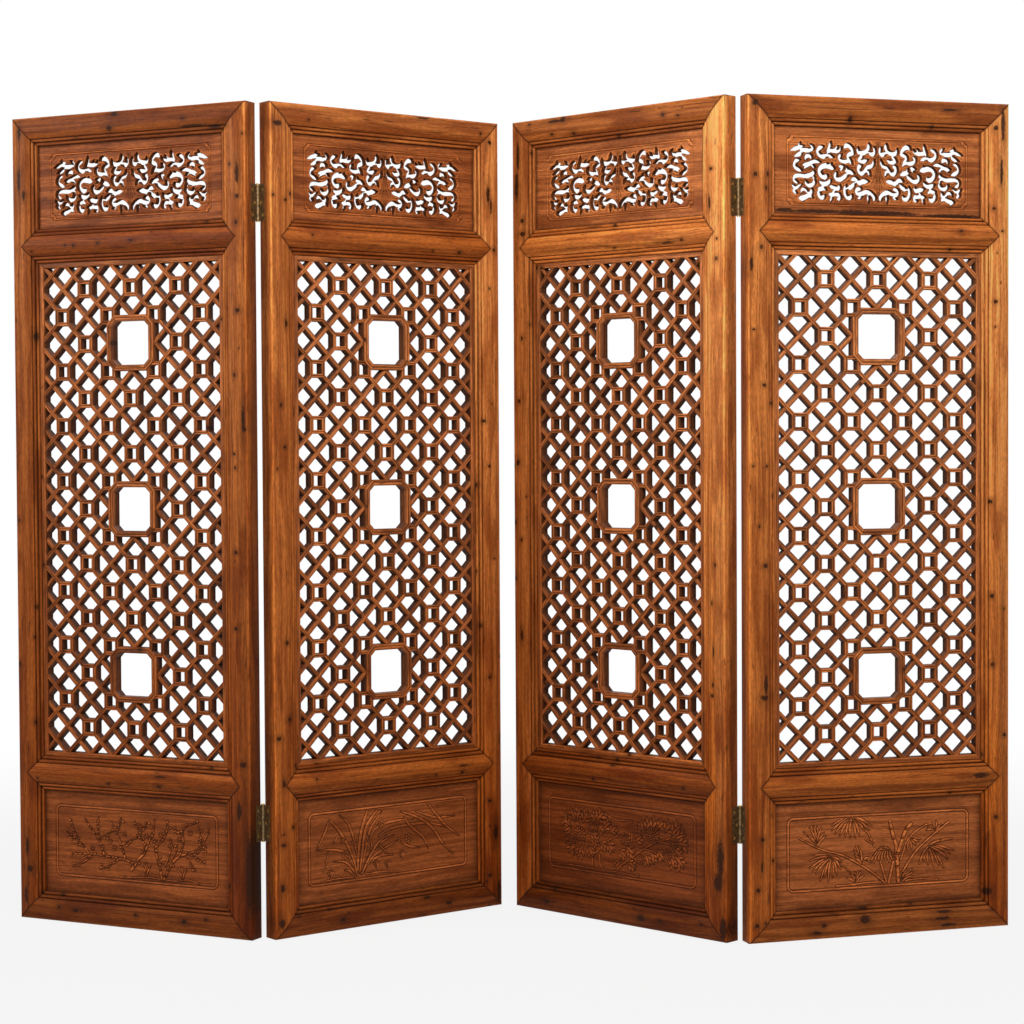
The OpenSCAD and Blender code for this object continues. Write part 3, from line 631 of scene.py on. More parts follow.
class SCREEN_OT_frames(bpy.types.Operator):
    """Moulded stiles and rails, mitred in front and butted behind"""
    bl_idname = "screen.frames"
    bl_label = "Stiles and rails"

    # How far a cutting block reaches past the wood's edge and its front, and the depth it
    # reaches behind it.
    PAST, CLEAR, BEHIND = 9, 1, 50

    def execute(self, context):
        finishes = [wood_finish(f"Frame_wood_{leaf + 1}", "frame_light", "frame_dark", joints=True,
                                streaks=0.45, spots=marks)
                    for leaf, marks in enumerate(FRAME_MARKS)]
        wide, high = size("leaf_width"), size("leaf_height")
        middles = (size("lower_rail"), size("upper_rail"))
        half = size("cross_rail_height") / 2
        stile = self.stile(high, middles, half)
        rail = self.rail(wide)
        cross = self.cross(wide, half)
        over = Matrix(((-1, 0, 0, wide), (0, 1, 0, 0), (0, 0, 1, 0), (0, 0, 0, 1)))
        upside = Matrix(((1, 0, 0, 0), (0, 1, 0, 0), (0, 0, -1, high), (0, 0, 0, 1)))
        lower, upper = (Matrix.Translation((0, 0, z - half)) for z in middles)
        for leaf, finish in enumerate(finishes):
            for piece, part, shape in (
                    (stile, "left_stile", None), (stile, "right_stile", over),
                    (rail, "bottom_rail", None), (rail, "top_rail", upside),
                    (cross, "lower_cross_rail", lower), (cross, "upper_cross_rail", upper)):
                stand_in_leaf(piece.data, leaf, part, "moulded", finish, shape)
        clear_bench(stile, rail, cross)
        return {"FINISHED"}

    def stile(self, high, middles, half):
        """A left stile, mitred at both ends and notched for the cross rails."""
        edge = size("frame_width")
        out = edge + self.PAST
        stile = pulled_section("stile", [(edge - t, y) for t, y in outer_section()], high)
        front = -self.CLEAR, MITRE_DEPTH
        cut_away(stile, [(-1, -1), (out, out), (out, -1)], *front)
        cut_away(stile, [(-1, high + 1), (out, high + 1), (out, high - edge - self.PAST)], *front)
        for z in middles:
            cut_away(stile, [(edge - half, z), (out, z - half - self.PAST),
                             (out, z + half + self.PAST)], *front)
        masked_member(stile, "Z", lambda p: edge - p[0])
        return stile

    def rail(self, wide):
        """A bottom rail, mitred in front and with square shoulders behind."""
        edge = size("frame_width")
        out = edge + self.PAST
        section = [(edge - t, y) for t, y in outer_section()]
        rail = laid_down(pulled_section("rail", section, wide))
        for outer, inner, shoulder in (
                (-1, out, edge), (wide + 1, wide - edge - self.PAST, wide - edge)):
            cut_away(rail, [(outer, -1), (inner, out), (outer, out)], -self.CLEAR, MITRE_DEPTH)
            cut_away(rail, [(outer, -1), (shoulder, -1), (shoulder, out), (outer, out)],
                     MITRE_DEPTH, self.BEHIND)
        masked_member(rail, "X", lambda p: edge - p[2])
        return rail

    def cross(self, wide, half):
        """A cross rail with pointed ends in front and square shoulders behind."""
        edge = size("frame_width")
        cross = laid_down(pulled_section("cross", cross_section(), wide - 2 * (edge - half)),
                          edge - half)
        for side in (-1, 1):
            outer = wide / 2 + side * (wide / 2 - edge + half) + side
            shoulder = wide / 2 + side * (wide / 2 - edge)
            for end in (-1, 1):
                reach = half + end * (half + self.PAST)
                cut_away(cross, [(outer, half), (shoulder - self.PAST * side, reach),
                                 (outer, reach)],
                         -self.CLEAR, MITRE_DEPTH)
            cut_away(cross, [(outer, -1), (shoulder, -1), (shoulder, 2 * half + 1),
                             (outer, 2 * half + 1)], MITRE_DEPTH, self.BEHIND)
        # On each cross rail's swelling: a painted highlight on the upper half, painted shade on the
        # lower half.
        masked_member(cross, "X", lambda p: min(p[2], 2 * half - p[2]), lambda p: (
            1 if p[2] > half else -1) * (4 < abs(p[2] - half) < half - 16.5 and p[1] < 15))
        return cross


# ---- bars -------------------------------------------------------------------------

class BarWork:
    """Straight moulded bars, laid one by one into one mesh."""

    def __init__(self, seed):
        self.points, self.faces, self.grain, self.wear_and_highlight, self.dirt_and_shade = [], [], [], [], []
        self.chance = random.Random(seed)

    def lay(self, start, end, section, starts=None, ends=None):
        """Lays a bar from start to end, in X and Z. A section's points hold the offset to the left,
        the depth, the wear with its painted highlight and the dirt with its painted shade; starts
        and ends say how far the bar's ends are cut back at an offset."""
        start, end = Vector(start), Vector(end)
        run = (end - start).normalized()
        left = Vector((-run.y, run.x))
        length = (end - start).length
        first, count = len(self.points), len(section)
        shift = [self.chance.uniform(0, 900) for _ in range(3)]
        for at, cut, way in ((0, starts, 1), (length, ends, -1)):
            for offset, depth, wear_and_highlight, dirt_and_shade in section:
                along = at + way * (cut(offset) if cut else 0)
                spot = start + run * along + left * offset
                self.points.append((spot.x, depth, spot.y))
                self.grain.append((along + shift[0], offset + shift[1], depth + shift[2]))
                self.wear_and_highlight.append(wear_and_highlight)
                self.dirt_and_shade.append(dirt_and_shade)
        for k in range(count):
            n = (k + 1) % count
            self.faces.append((first + k, first + n, first + count + n, first + count + k))
        self.faces.append(tuple(first + k for k in reversed(range(count))))
        self.faces.append(tuple(first + count + k for k in range(count)))

    def piece(self, name):
        mesh = bpy.data.meshes.new(name)
        mesh.from_pydata(self.points, [], self.faces)
        set_points(mesh, "grain", self.grain)
        set_mask(mesh, "wear_and_highlight", self.wear_and_highlight)
        set_mask(mesh, "dirt_and_shade", self.dirt_and_shade)
        piece = edited(linked(name, mesh), face_outwards)
        smooth_over(piece, 40)
        return piece


# Half faces of the lattice bars, from the middle outwards: the share of the half width, the depth,
# the wear with a painted highlight on the ridges, and the dirt with painted shade in the groove and
# down the sides. The first has two beads with a groove between them, the other is gently rounded.
BEADED = ((0, 1.5, 0, 0.85), (0.12, 0.75, 0.3, 0.3), (0.3, 0.15, 0.8, 0), (0.52, 0, 1, 0),
          (0.75, 0.25, 0.8, 0), (0.92, 0.9, 0.3, 0.1), (1, 1.9, 0, 0.35), (1, 5.5, 0, 0.6))
ROUNDED = ((0, 0, 0.5, 0), (0.5, 0.25, 0.45, 0), (0.82, 0.9, 0.3, 0.05), (1, 2.1, 0, 0.3),
           (1, 5.5, 0, 0.6))


def bar_section(face, width, front, back):
    """Section of a bar with this half face on both sides."""
    w = width / 2
    half = [(w * v, front + y, wear_and_highlight, dirt_and_shade) for v, y, wear_and_highlight, dirt_and_shade in face] + [(w, back, 0, 0.85)]
    return half + [(-v, y, wear_and_highlight, dirt_and_shade) for v, y, wear_and_highlight, dirt_and_shade in reversed(half)][:-1]


def cut_square(side, cut):
    """Corners of a square with its corners cut."""
    a, b = side / 2, side / 2 - cut
    return [(a, b), (b, a), (-b, a), (-a, b), (-a, -b), (-b, -a), (b, -a), (a, -b)]


def part_within(start, end, walls):
    """From where to where, in fractions, a line runs inside walls. A wall's first two values
    are the way it looks, its third is how far out it stands."""
    run = (end[0] - start[0], end[1] - start[1])
    enter, leave = 0.0, 1.0
    for nx, nz, reach in walls:
        speed = nx * run[0] + nz * run[1]
        room = reach - nx * start[0] - nz * start[1]
        if abs(speed) < 1e-9:
            if room < 0:
                return None
        elif speed > 0:
            leave = min(leave, room / speed)
        else:
            enter = max(enter, room / speed)
    return (enter, leave) if enter < leave else None


def clear_spans(start, end, half_w, low, high, windows, window_half, window_cut):
    """Parts of a line inside the lattice's opening and outside its windows, as fractions."""
    whole = part_within(start, end, [(1, 0, half_w), (-1, 0, half_w), (0, 1, high), (0, -1, -low)])
    spans = [whole] if whole else []
    slant = 2 * window_half - window_cut
    for z in windows:
        walls = [(1, 0, window_half), (-1, 0, window_half),
                 (0, 1, window_half + z), (0, -1, window_half - z)]
        walls += [(sx, sz, slant + sz * z) for sx in (-1, 1) for sz in (-1, 1)]
        hole = part_within(start, end, walls)
        if hole:
            spans = [part for a, b in spans
                     for part in ((a, min(b, hole[0])), (max(a, hole[1]), b))
                     if part[1] - part[0] > 1e-6]
    return spans


def middle_opening(inset):
    """Half the width and height of the opening round a lattice, less an inset on every side."""
    return (size("leaf_width") / 2 - size("frame_width") - inset,
            (size("upper_rail") - size("lower_rail") - size("cross_rail_height")) / 2 - inset)


class SCREEN_OT_lattices(bpy.types.Operator):
    """Octagon-and-cross lattice of beaded bars, with plain bars crossing in the octagons"""
    bl_idname = "screen.lattices"
    bl_label = "Lattices"

    def execute(self, context):
        finish = wood_finish("Lattice_wood", "lattice_light", "lattice_dark")
        stand_in_leaves(self.lattice(), "lattice", "bars", [finish] * 4,
                        size("leaf_width") / 2, LATTICE_MIDDLE + LATTICE_RISE)
        return {"FINISHED"}

    def lattice(self):
        cell = size("cell")
        half_w, half_h = middle_opening(STICK_WIDTH)
        low, high = -half_h - LATTICE_RISE, half_h - LATTICE_RISE
        reach = size("square_hole") / 2 + size("bar_width")
        corner = (size("square_hole") + size("bar_width")) / 2
        window = size("window_hole") + 2 * size("window_side")
        work = BarWork(5)
        beads = bar_section(BEADED, size("bar_width"), 14, 36)
        # The bars run 4 mm into the edge sticks and 5 mm into the window frames, whose corners
        # are cut by 16.9 mm there.
        limits = (half_w + 4, low - 4, high + 4, [row * cell for row in WINDOW_ROWS],
                  window / 2 - 5, 16.9)

        def is_square(i, j):
            return ((i + j) % 2 == 0 and abs(i) * cell + reach < half_w
                    and j * cell - reach > low and j * cell + reach < high
                    and not (i == 0 and j in WINDOW_ROWS))

        def laid(start, end, section, starts=None, ends=None):
            start, end = Vector(start), Vector(end)
            for a, b in clear_spans(start, end, *limits):
                work.lay(start.lerp(end, a), start.lerp(end, b), section,
                         starts if a == 0 else None, ends if b == 1 else None)

        def corner_mitre(offset):
            return offset if offset > 0 else -TAN_22 * offset

        def even_mitre(offset):
            return TAN_22 * abs(offset)

        turns = [(-corner, -corner), (corner, -corner), (corner, corner), (-corner, corner)]
        for i, j in ((i, j) for i in range(-5, 6) for j in range(-10, 11) if (i + j) % 2 == 0):
            x, z = i * cell, j * cell
            here = corner if is_square(i, j) else 0
            if here:
                for a, b in zip(turns, turns[1:] + turns[:1]):
                    laid((x + a[0], z + a[1]), (x + b[0], z + b[1]), beads,
                         corner_mitre, corner_mitre)
            for side in (-1, 1):
                there = corner if is_square(i + side, j + 1) else 0
                laid((x + side * here, z + here), (x + side * (cell - there), z + cell - there),
                     beads, even_mitre if here else None, even_mitre if there else None)
        for k in range(-15, 16, 2):
            for side, lift in ((1, 0), (-1, 0.35)):
                laid((-side * 5 * cell, (k - 5) * cell), (side * 5 * cell, (k + 5) * cell),
                     bar_section(ROUNDED, size("cross_bar_width"), 15.7 + lift, 35.8 - lift))
        return work.piece("lattice")


class SCREEN_OT_edge_sticks(bpy.types.Operator):
    """Four mitred sticks that hold the ends of the lattice bars"""
    bl_idname = "screen.edge_sticks"
    bl_label = "Edge sticks"

    def execute(self, context):
        finish = wood_finish("Edge_stick_wood", "lattice_light", "lattice_dark")
        x, z = middle_opening(STICK_WIDTH / 2)
        # The section's points: offset, depth, wear with a painted highlight on the rounded front,
        # and dirt with painted shade down the sides and behind.
        face = [(6, 15.2, 0.2, 0.5), (5.4, 13.8, 0.7, 0), (4, 13.1, 0.9, 0), (1.5, 13, 0.3, 0),
                (-2, 13.2, 0.2, 0), (-4.6, 13.6, 0.3, 0.1), (-6, 14.4, 0.2, 0.7),
                (-6, 36, 0, 0.8), (6, 36, 0, 0.85), (6, 19, 0, 0.6)]
        work = BarWork(9)
        corners = [(-x, -z), (x, -z), (x, z), (-x, z)]
        for here, there in zip(corners, corners[1:] + corners[:1]):
            work.lay(here, there, face, lambda v: v, lambda v: v)
        stand_in_leaves(work.piece("sticks"), "edge_sticks", "moulded", [finish] * 4,
                        size("leaf_width") / 2, LATTICE_MIDDLE)
        return {"FINISHED"}


class SCREEN_OT_window_frames(bpy.types.Operator):
    """Three octagonal window frames in each lattice, with two beads round them"""
    bl_idname = "screen.window_frames"
    bl_label = "Window frames"

    def execute(self, context):
        finish = wood_finish("Window_wood", "lattice_light", "lattice_dark")
        side = size("window_side")
        outer = size("window_hole") + 2 * side
        cut = 12 + (2 - math.sqrt(2)) * side
        middle = cut_square(outer - side, cut - (2 - math.sqrt(2)) * side / 2)
        w = side / 2
        # The section's points: offset, depth, wear with painted highlights on the two beads, and
        # dirt with painted shade between them and down the sides.
        face = [(-w, 36, 0, 0.85), (-w, 14, 0, 0.4), (-w, 12.4, 0.3, 0.1),
                (-w * 0.88, 11.4, 0.8, 0), (-w * 0.62, 11, 1, 0), (-w * 0.34, 11.4, 0.7, 0),
                (-w * 0.16, 12.6, 0.1, 0.85), (0, 12.4, 0.3, 0.3), (w * 0.16, 11.8, 0.7, 0),
                (w * 0.4, 11.5, 0.9, 0), (w * 0.68, 11.9, 0.7, 0), (w * 0.84, 13, 0.1, 0.7),
                (w, 13.1, 0.5, 0.1), (w, 20, 0, 0.45), (w, 36, 0, 0.75)]
        work = BarWork(13)
        for row in WINDOW_ROWS:
            corners = [(x, y + row * size("cell")) for x, y in reversed(middle)]
            for here, there in zip(corners, corners[1:] + corners[:1]):
                work.lay(there, here, face, lambda v: TAN_22 * v, lambda v: TAN_22 * v)
        stand_in_leaves(work.piece("windows"), "window_frames", "moulded", [finish] * 4,
                        size("leaf_width") / 2, LATTICE_MIDDLE + LATTICE_RISE)
        return {"FINISHED"}


# ---- carving ----------------------------------------------------------------------

def smooth_line(points, steps=4):
    """A Catmull-Rom line through given points."""
    p = [np.array(q, dtype=float) for q in points]
    p = [2 * p[0] - p[1]] + p + [2 * p[-1] - p[-2]]
    line = []
    for k in range(1, len(p) - 2):
        for s in np.arange(steps) / steps:
            line.append(0.5 * (2 * p[k] + (p[k + 1] - p[k - 1]) * s
                               + (2 * p[k - 1] - 5 * p[k] + 4 * p[k + 1] - p[k + 2]) * s ** 2
                               + (3 * p[k] - p[k - 1] - 3 * p[k + 1] + p[k + 2]) * s ** 3))
    return np.array(line + [p[-2]])


class Relief:
    """A picture in low relief, cut stroke by stroke into a field of 1 mm squares. Its points are
    measured from the middle of the board's carved line; later strokes lie over earlier ones."""

    def __init__(self, half_w, half_h):
        self.x = np.arange(-half_w, half_w + 0.5)
        self.z = np.arange(-half_h, half_h + 0.5)
        shape = (len(self.z), len(self.x))
        self.height, self.wear_and_highlight, self.dirt_and_shade = np.zeros(shape), np.zeros(shape), np.full(shape, 0.12)

    def stroke(self, points, start, end, rise=1.1, vein=0.0, swell=0.0):
        """A raised strand whose half width goes from start to end, fuller in the middle by swell,
        with a sunk outline and, if vein is set, a groove along its middle. Its rounded top gets
        wear with a painted highlight; its sides, the sunk outline and the groove get painted shade."""
        line = smooth_line(points) if len(points) > 2 else np.array(points, dtype=float)
        reach = max(start, end) + swell + 2.5
        low, high = line.min(axis=0) - reach, line.max(axis=0) + reach
        c0, c1 = np.searchsorted(self.x, (low[0], high[0]))
        r0, r1 = np.searchsorted(self.z, (low[1], high[1]))
        if c1 <= c0 or r1 <= r0:
            return
        x, z = np.meshgrid(self.x[c0:c1], self.z[r0:r1])
        best = np.full(x.shape, 1e9)
        edge = np.zeros(x.shape)
        count = len(line) - 1
        for k in range(count):
            run = line[k + 1] - line[k]
            dx, dz = x - line[k][0], z - line[k][1]
            t = np.clip((dx * run[0] + dz * run[1]) / max(run @ run, 1e-9), 0, 1)
            away = np.hypot(dx - t * run[0], dz - t * run[1])
            part = (k + t) / count
            width = start + (end - start) * part + swell * np.sin(np.pi * part)
            better = away - width < best
            best = np.where(better, away - width, best)
            edge = np.where(better, width, edge)
        body = best < 0
        away = best + edge
        round_up = np.sqrt(np.clip(1 - (away / np.maximum(edge, 0.4)) ** 2, 0, 1))
        groove = vein * np.exp(-(away / 0.55) ** 2)
        ring = (best >= 0) & (best < 2)
        sink = 0.6 * (1 - best / 2)
        view = (slice(r0, r1), slice(c0, c1))
        self.height[view] = np.where(body, 1.7 * rise * (0.3 + 0.7 * round_up) - groove, np.where(
            ring, np.minimum(self.height[view], 0.25) * (best / 2) - sink, self.height[view]))
        self.wear_and_highlight[view] = np.where(body, 0.35 + 0.75 * round_up - groove,
                                   np.where(ring, 0, self.wear_and_highlight[view]))
        self.dirt_and_shade[view] = np.where(body, 0.3 * (1 - round_up) + groove, np.where(
            ring, np.maximum(self.dirt_and_shade[view] * 0.6, 1.05 - 0.5 * best / 2), self.dirt_and_shade[view]))

    def leaf(self, root, tip, width=1.5, bend=0.0, vein=0.0):
        """A blade from its root to its tip, pointed at both ends."""
        root, tip = np.array(root, dtype=float), np.array(tip, dtype=float)
        run = tip - root
        middle = (root + tip) / 2 + bend * np.array([-run[1], run[0]])
        self.stroke([root, middle, tip], 0.5, 0.4, 1.0, vein, width)

    def fan(self, root, tips, width=1.5, bend=0.06):
        for tip in tips:
            self.leaf(root, tip, width, bend if tip[0] > root[0] else -bend)

    def bud(self, x, z, radius):
        self.stroke([(x - 0.3, z), (x + 0.3, z)], radius, radius, 1.3)

    def flower(self, x, z, radius, petals, turn=0.0):
        for ring, count in ((1.0, petals), (0.62, petals - 3)):
            for k in range(count):
                a = turn + ring + 2 * math.pi * k / count
                tip = (x + radius * ring * math.cos(a), z + radius * ring * math.sin(a))
                self.leaf((x + 2 * math.cos(a), z + 2 * math.sin(a)), tip, 1.7 * ring + 0.3, 0.12)
        self.bud(x, z, 2.4)

    def lobed_leaf(self, root, tip, width):
        """A leaf with five lobes, each with its own vein."""
        root, tip = np.array(root, dtype=float), np.array(tip, dtype=float)
        run = tip - root
        side = np.array([-run[1], run[0]])
        for part, out in ((0.3, 0.5), (0.3, -0.5), (0.62, 0.42), (0.62, -0.42)):
            self.leaf(root + run * (part - 0.12), root + run * (part + 0.3) + side * out, width,
                      0.1 * out, 0.5)
        self.leaf(root, tip, width * 1.15, 0.03, 0.6)

    def carved_line(self, half_w, half_h, radius):
        """A bead between two grooves, round the picture, with rounded corners."""
        x, z = np.meshgrid(self.x, self.z)
        dx = np.maximum(np.abs(x) - (half_w - radius), 0)
        dz = np.maximum(np.abs(z) - (half_h - radius), 0)
        away = np.hypot(dx, dz) - radius
        away = np.where((dx == 0) & (dz == 0), -radius, away)
        inside = np.maximum(np.abs(x) - half_w, np.abs(z) - half_h)
        away = np.where((dx > 0) & (dz > 0), away, inside)
        groove = np.exp(-((np.abs(away) - 3) / 0.9) ** 2)
        ridge = np.clip(1 - (away / 2.4) ** 2, 0, 1)
        clear = np.abs(away) < 5
        # Painted shade in the two grooves; wear with a painted highlight on the bead between them.
        self.height = np.where(clear, 0.9 * ridge - 1.2 * groove, self.height)
        self.dirt_and_shade = np.where(clear, 0.95 * groove + 0.1, self.dirt_and_shade)
        self.wear_and_highlight = np.where(clear, 0.9 * ridge, self.wear_and_highlight)


def plum(r):
    """Leaf 1: plum branches with buds, grass and a ground line."""
    chance = random.Random(21)
    r.stroke([(-44, -73), (0, -71), (30, -68), (63, -70), (110, -71), (140, -66), (168, -72)],
             1.2, 1.2, 0.8)
    for root, tips in (((29, -66), [(17, -45), (23, -38), (29, -36), (40, -42)]),
                       ((126, -66), [(112, -46), (122, -38), (136, -42)])):
        r.fan(root, tips, 1.2)
    twigs = [
        ([(-6, -40), (-31, -33), (-86, -28), (-131, -27), (-173, -28)], 2.0, 1.1),
        ([(-120, -33), (-148, -48), (-173, -58)], 1.5, 0.8),
        ([(-46, -33), (-73, -50), (-98, -60)], 1.5, 0.8),
        ([(-86, -28), (-98, 4), (-118, 27), (-140, 54)], 2.2, 1.2),
        ([(-29, -30), (-39, -1), (-51, 24), (-66, 49)], 2.0, 1.2),
        ([(-128, -26), (-148, -6), (-173, 9), (-190, 20)], 2.0, 1.0),
        ([(-156, 2), (-170, 28), (-176, 46)], 1.2, 0.8),
        ([(-98, 8), (-104, 40), (-101, 58)], 1.4, 0.9),
        ([(-51, 24), (-43, 44), (-39, 60)], 1.2, 0.8),
        ([(-100, 10), (-76, 22), (-60, 30)], 1.2, 0.8), ([(-40, 0), (-16, 10), (6, 20)], 1.3, 0.9),
        ([(-12, -55), (9, -28), (26, -10), (18, 14), (11, 32), (-2, 55)], 3.2, 1.6),
        ([(26, -10), (36, 12), (48, 40), (51, 62)], 1.8, 1.0),
        ([(11, 30), (24, 40), (30, 54)], 1.2, 0.8),
        ([(71, -70), (63, -40), (51, 2), (47, 20)], 2.8, 1.8),
        ([(52, 0), (76, 22), (84, 40), (86, 62)], 2.2, 1.4),
        ([(60, -36), (88, -28), (104, -12), (112, 8)], 1.6, 1.0),
        ([(76, -70), (86, -50), (106, -23), (128, -11), (160, 0), (176, 14), (195, 44)], 2.8, 1.4),
        ([(78, -40), (92, -8), (96, 20)], 1.6, 1.1), ([(93, 47), (110, 42), (128, 36)], 1.4, 1.0),
        ([(118, -14), (128, 14), (126, 40), (138, 54), (163, 63)], 1.6, 0.9),
        ([(175, 14), (172, 36), (168, 54)], 1.2, 0.8),
        ([(145, -8), (163, -16), (185, -26)], 1.4, 0.9),
        ([(138, -20), (150, -32), (160, -43)], 1.3, 0.9),
        ([(160, 0), (176, 4), (190, 10)], 1.2, 0.8)]
    for points, start, end in twigs:
        r.stroke(points, start, end, 1.3)
    for points, _, _ in twigs:
        line = smooth_line(points, 3)
        for spot in line[1:]:
            if chance.random() < 0.72:
                a = chance.uniform(0, 2 * math.pi)
                away = chance.uniform(3.5, 8.5)
                x, z = spot[0] + away * math.cos(a), spot[1] + away * math.sin(a)
                if abs(x) < 200 and -60 < z < 66:
                    r.stroke([tuple(spot), (x, z)], 0.6, 0.6, 0.8)
                    r.bud(x, z, chance.choice((1.7, 2.0, 2.4)))
    for x, z in ((-118, -14), (-70, 6), (-30, 26), (12, 44), (68, 30), (118, 22), (146, 38),
                 (-58, -8), (30, 24), (96, 6)):
        for k in range(5):
            a = 0.4 + k * 2 * math.pi / 5
            r.bud(x + 3.6 * math.cos(a), z + 3.6 * math.sin(a), 1.9)
        r.bud(x, z, 1.4)


def orchid(r):
    """Leaf 2: arching orchid blades with small flowers."""
    r.stroke([(-172, -73), (-140, -71), (-100, -73)], 1.1, 1.1, 0.7)
    r.stroke([(-66, -70), (-30, -69), (17, -72)], 1.3, 1.1, 0.7)
    for points, w in (
            ([(-167, -10), (-171, -26), (-175, -42)], 1.2),
            ([(-138, 26), (-146, 19), (-153, 10)], 1.4),
            ([(-98, -71), (-108, -59), (-123, -54)], 1.6),
            ([(-93, -66), (-111, -44), (-128, -34), (-152, -31)], 2.0),
            ([(-78, -66), (-56, -44), (-26, -32), (9, -34)], 2.0),
            ([(-93, -56), (-120, -17), (-153, -5), (-193, -2)], 2.3),
            ([(-91, -22), (-100, 18), (-115, 53), (-136, 70)], 2.2),
            ([(-76, -69), (-51, -36), (-16, -17), (24, -2)], 2.2),
            ([(-78, -69), (-56, -29), (-28, -4), (11, 11)], 2.2),
            ([(-78, -69), (-61, -41), (-36, -6), (-9, 13)], 2.2),
            ([(-81, -66), (-61, 6), (-50, 36), (-21, 68)], 2.4),
            ([(-90, -71), (-100, -31), (-128, 23), (-158, 58), (-166, 60)], 2.6),
            ([(-166, 60), (-176, 35), (-198, -2)], 2.0),
            ([(-83, -66), (-76, -22), (-66, 33), (-44, 63), (-28, 76)], 3.0),
            ([(-88, -61), (-86, -22), (-78, 28), (-64, 66), (-60, 75)], 3.2),
            ([(-60, 4), (-40, 30), (-9, 40), (34, 44), (66, 42)], 2.2),
            ([(-30, 12), (0, 26), (70, 30), (108, 28), (148, 18), (178, 6)], 2.0),
            ([(31, 63), (58, 53), (96, 35), (125, 10), (148, -22), (178, -50)], 2.6),
            ([(74, 59), (108, 46), (138, 38), (184, 38)], 2.2),
            ([(105, 75), (128, 50), (158, 18), (196, -10)], 2.4),
            ([(40, 49), (58, 26), (93, -2), (108, -30)], 2.4),
            ([(31, -6), (53, -19), (84, -26)], 2.0),
            ([(-52, -20), (-50, -2), (-58, 16)], 1.4), ([(-30, -6), (-18, -18), (-6, -30)], 1.6)):
        r.stroke(points, 1.0, 0.5, 1.2, 0.45, w - 0.4)
    for x, z, s in ((-121, -20, 1.0), (-24, 40, 0.9), (52, 0, 1.15), (-128, 12, 0.7),
                    (-98, 4, 0.8)):
        for a in (0.3, 1.3, 2.4, 3.4, 4.5, 5.5):
            r.leaf((x, z), (x + 9 * s * math.cos(a), z + 9 * s * math.sin(a)), 1.5 * s, 0.1)
        r.bud(x, z, 1.4)
    for x, z in ((-160, -66), (-5, -62), (34, -44), (-36, -58)):
        r.fan((x, z), [(x - 9, z + 11), (x - 4, z + 15), (x + 2, z + 16), (x + 8, z + 12)], 1.1)


def chrysanthemum(r):
    """Leaf 3: two thick clumps of chrysanthemum on curved stems."""
    chance = random.Random(33)
    r.stroke([(-209, -74), (-120, -70), (-60, -73), (0, -70), (55, -75)], 1.2, 1.0, 0.8)
    for points, w in (
            ([(-84, -64), (-82, -40), (-74, -6), (-76, 28), (-60, 38)], 1.8),
            ([(-62, -37), (-60, -59), (-50, -74)], 1.8),
            ([(-75, -37), (-52, -14), (-25, 4), (-6, 12)], 2.0),
            ([(-120, -44), (-112, -20), (-110, 10), (-140, 34)], 1.8),
            ([(-18, -64), (27, -39), (69, -9), (114, 13), (159, 28), (176, 54)], 2.4),
            ([(28, -48), (40, -62), (55, -72)], 1.6), ([(69, -9), (100, -12), (128, -30)], 1.6),
            ([(114, 13), (146, 8), (168, -8), (180, -30)], 1.6),
            ([(-46, 58), (-10, 48), (30, 50), (36, 46)], 1.2)):
        r.stroke(points, w, w * 0.6, 1.2)
    leaves = [
        ((-150, 20), (-178, 36)), ((-150, 18), (-172, 4)), ((-136, 30), (-150, 62)),
        ((-130, 34), (-122, 64)), ((-112, 30), (-96, 58)), ((-80, 34), (-70, 60)),
        ((-72, 36), (-48, 62)), ((-64, 30), (-48, 14)), ((-50, 24), (-28, 40)),
        ((-30, 16), (-12, 32)), ((-140, -10), (-166, -22)), ((-136, -18), (-158, -44)),
        ((-118, -24), (-128, -52)), ((-96, -20), (-84, -44)), ((-90, 0), (-64, -10)),
        ((-60, -8), (-38, -22)), ((-38, -6), (-20, -26)), ((-96, 10), (-66, 8)),
        ((-4, -20), (18, -34)), ((4, -4), (24, 12)), ((18, -10), (42, -26)), ((34, 0), (36, 24)),
        ((44, 4), (66, 20)), ((60, 22), (52, 44)), ((70, 28), (62, 54)), ((78, 30), (92, 60)),
        ((92, 34), (112, 62)), ((110, 40), (130, 58)), ((130, 34), (152, 58)),
        ((150, 30), (178, 56)), ((160, 24), (192, 34)), ((164, 14), (198, 12)),
        ((156, 0), (180, -14)), ((160, -14), (184, -38)), ((150, -20), (158, -44)),
        ((110, -6), (128, -28)), ((92, -14), (100, -40)), ((74, -20), (84, -46)),
        ((40, -40), (30, -62)), ((2, -44), (-16, -60)), ((20, -46), (46, -54))]
    for root, tip in leaves:
        r.lobed_leaf(root, tip, 2.4)
    for x, z, radius, petals in ((-122, 4, 17, 13), (-84, 22, 12, 11), (-148, -14, 11, 10),
                                 (96, 24, 18, 14), (12, 8, 13, 11), (138, -14, 12, 11),
                                 (60, -34, 11, 10), (154, 12, 11, 10)):
        r.flower(x, z, radius, petals, chance.uniform(0, 1))


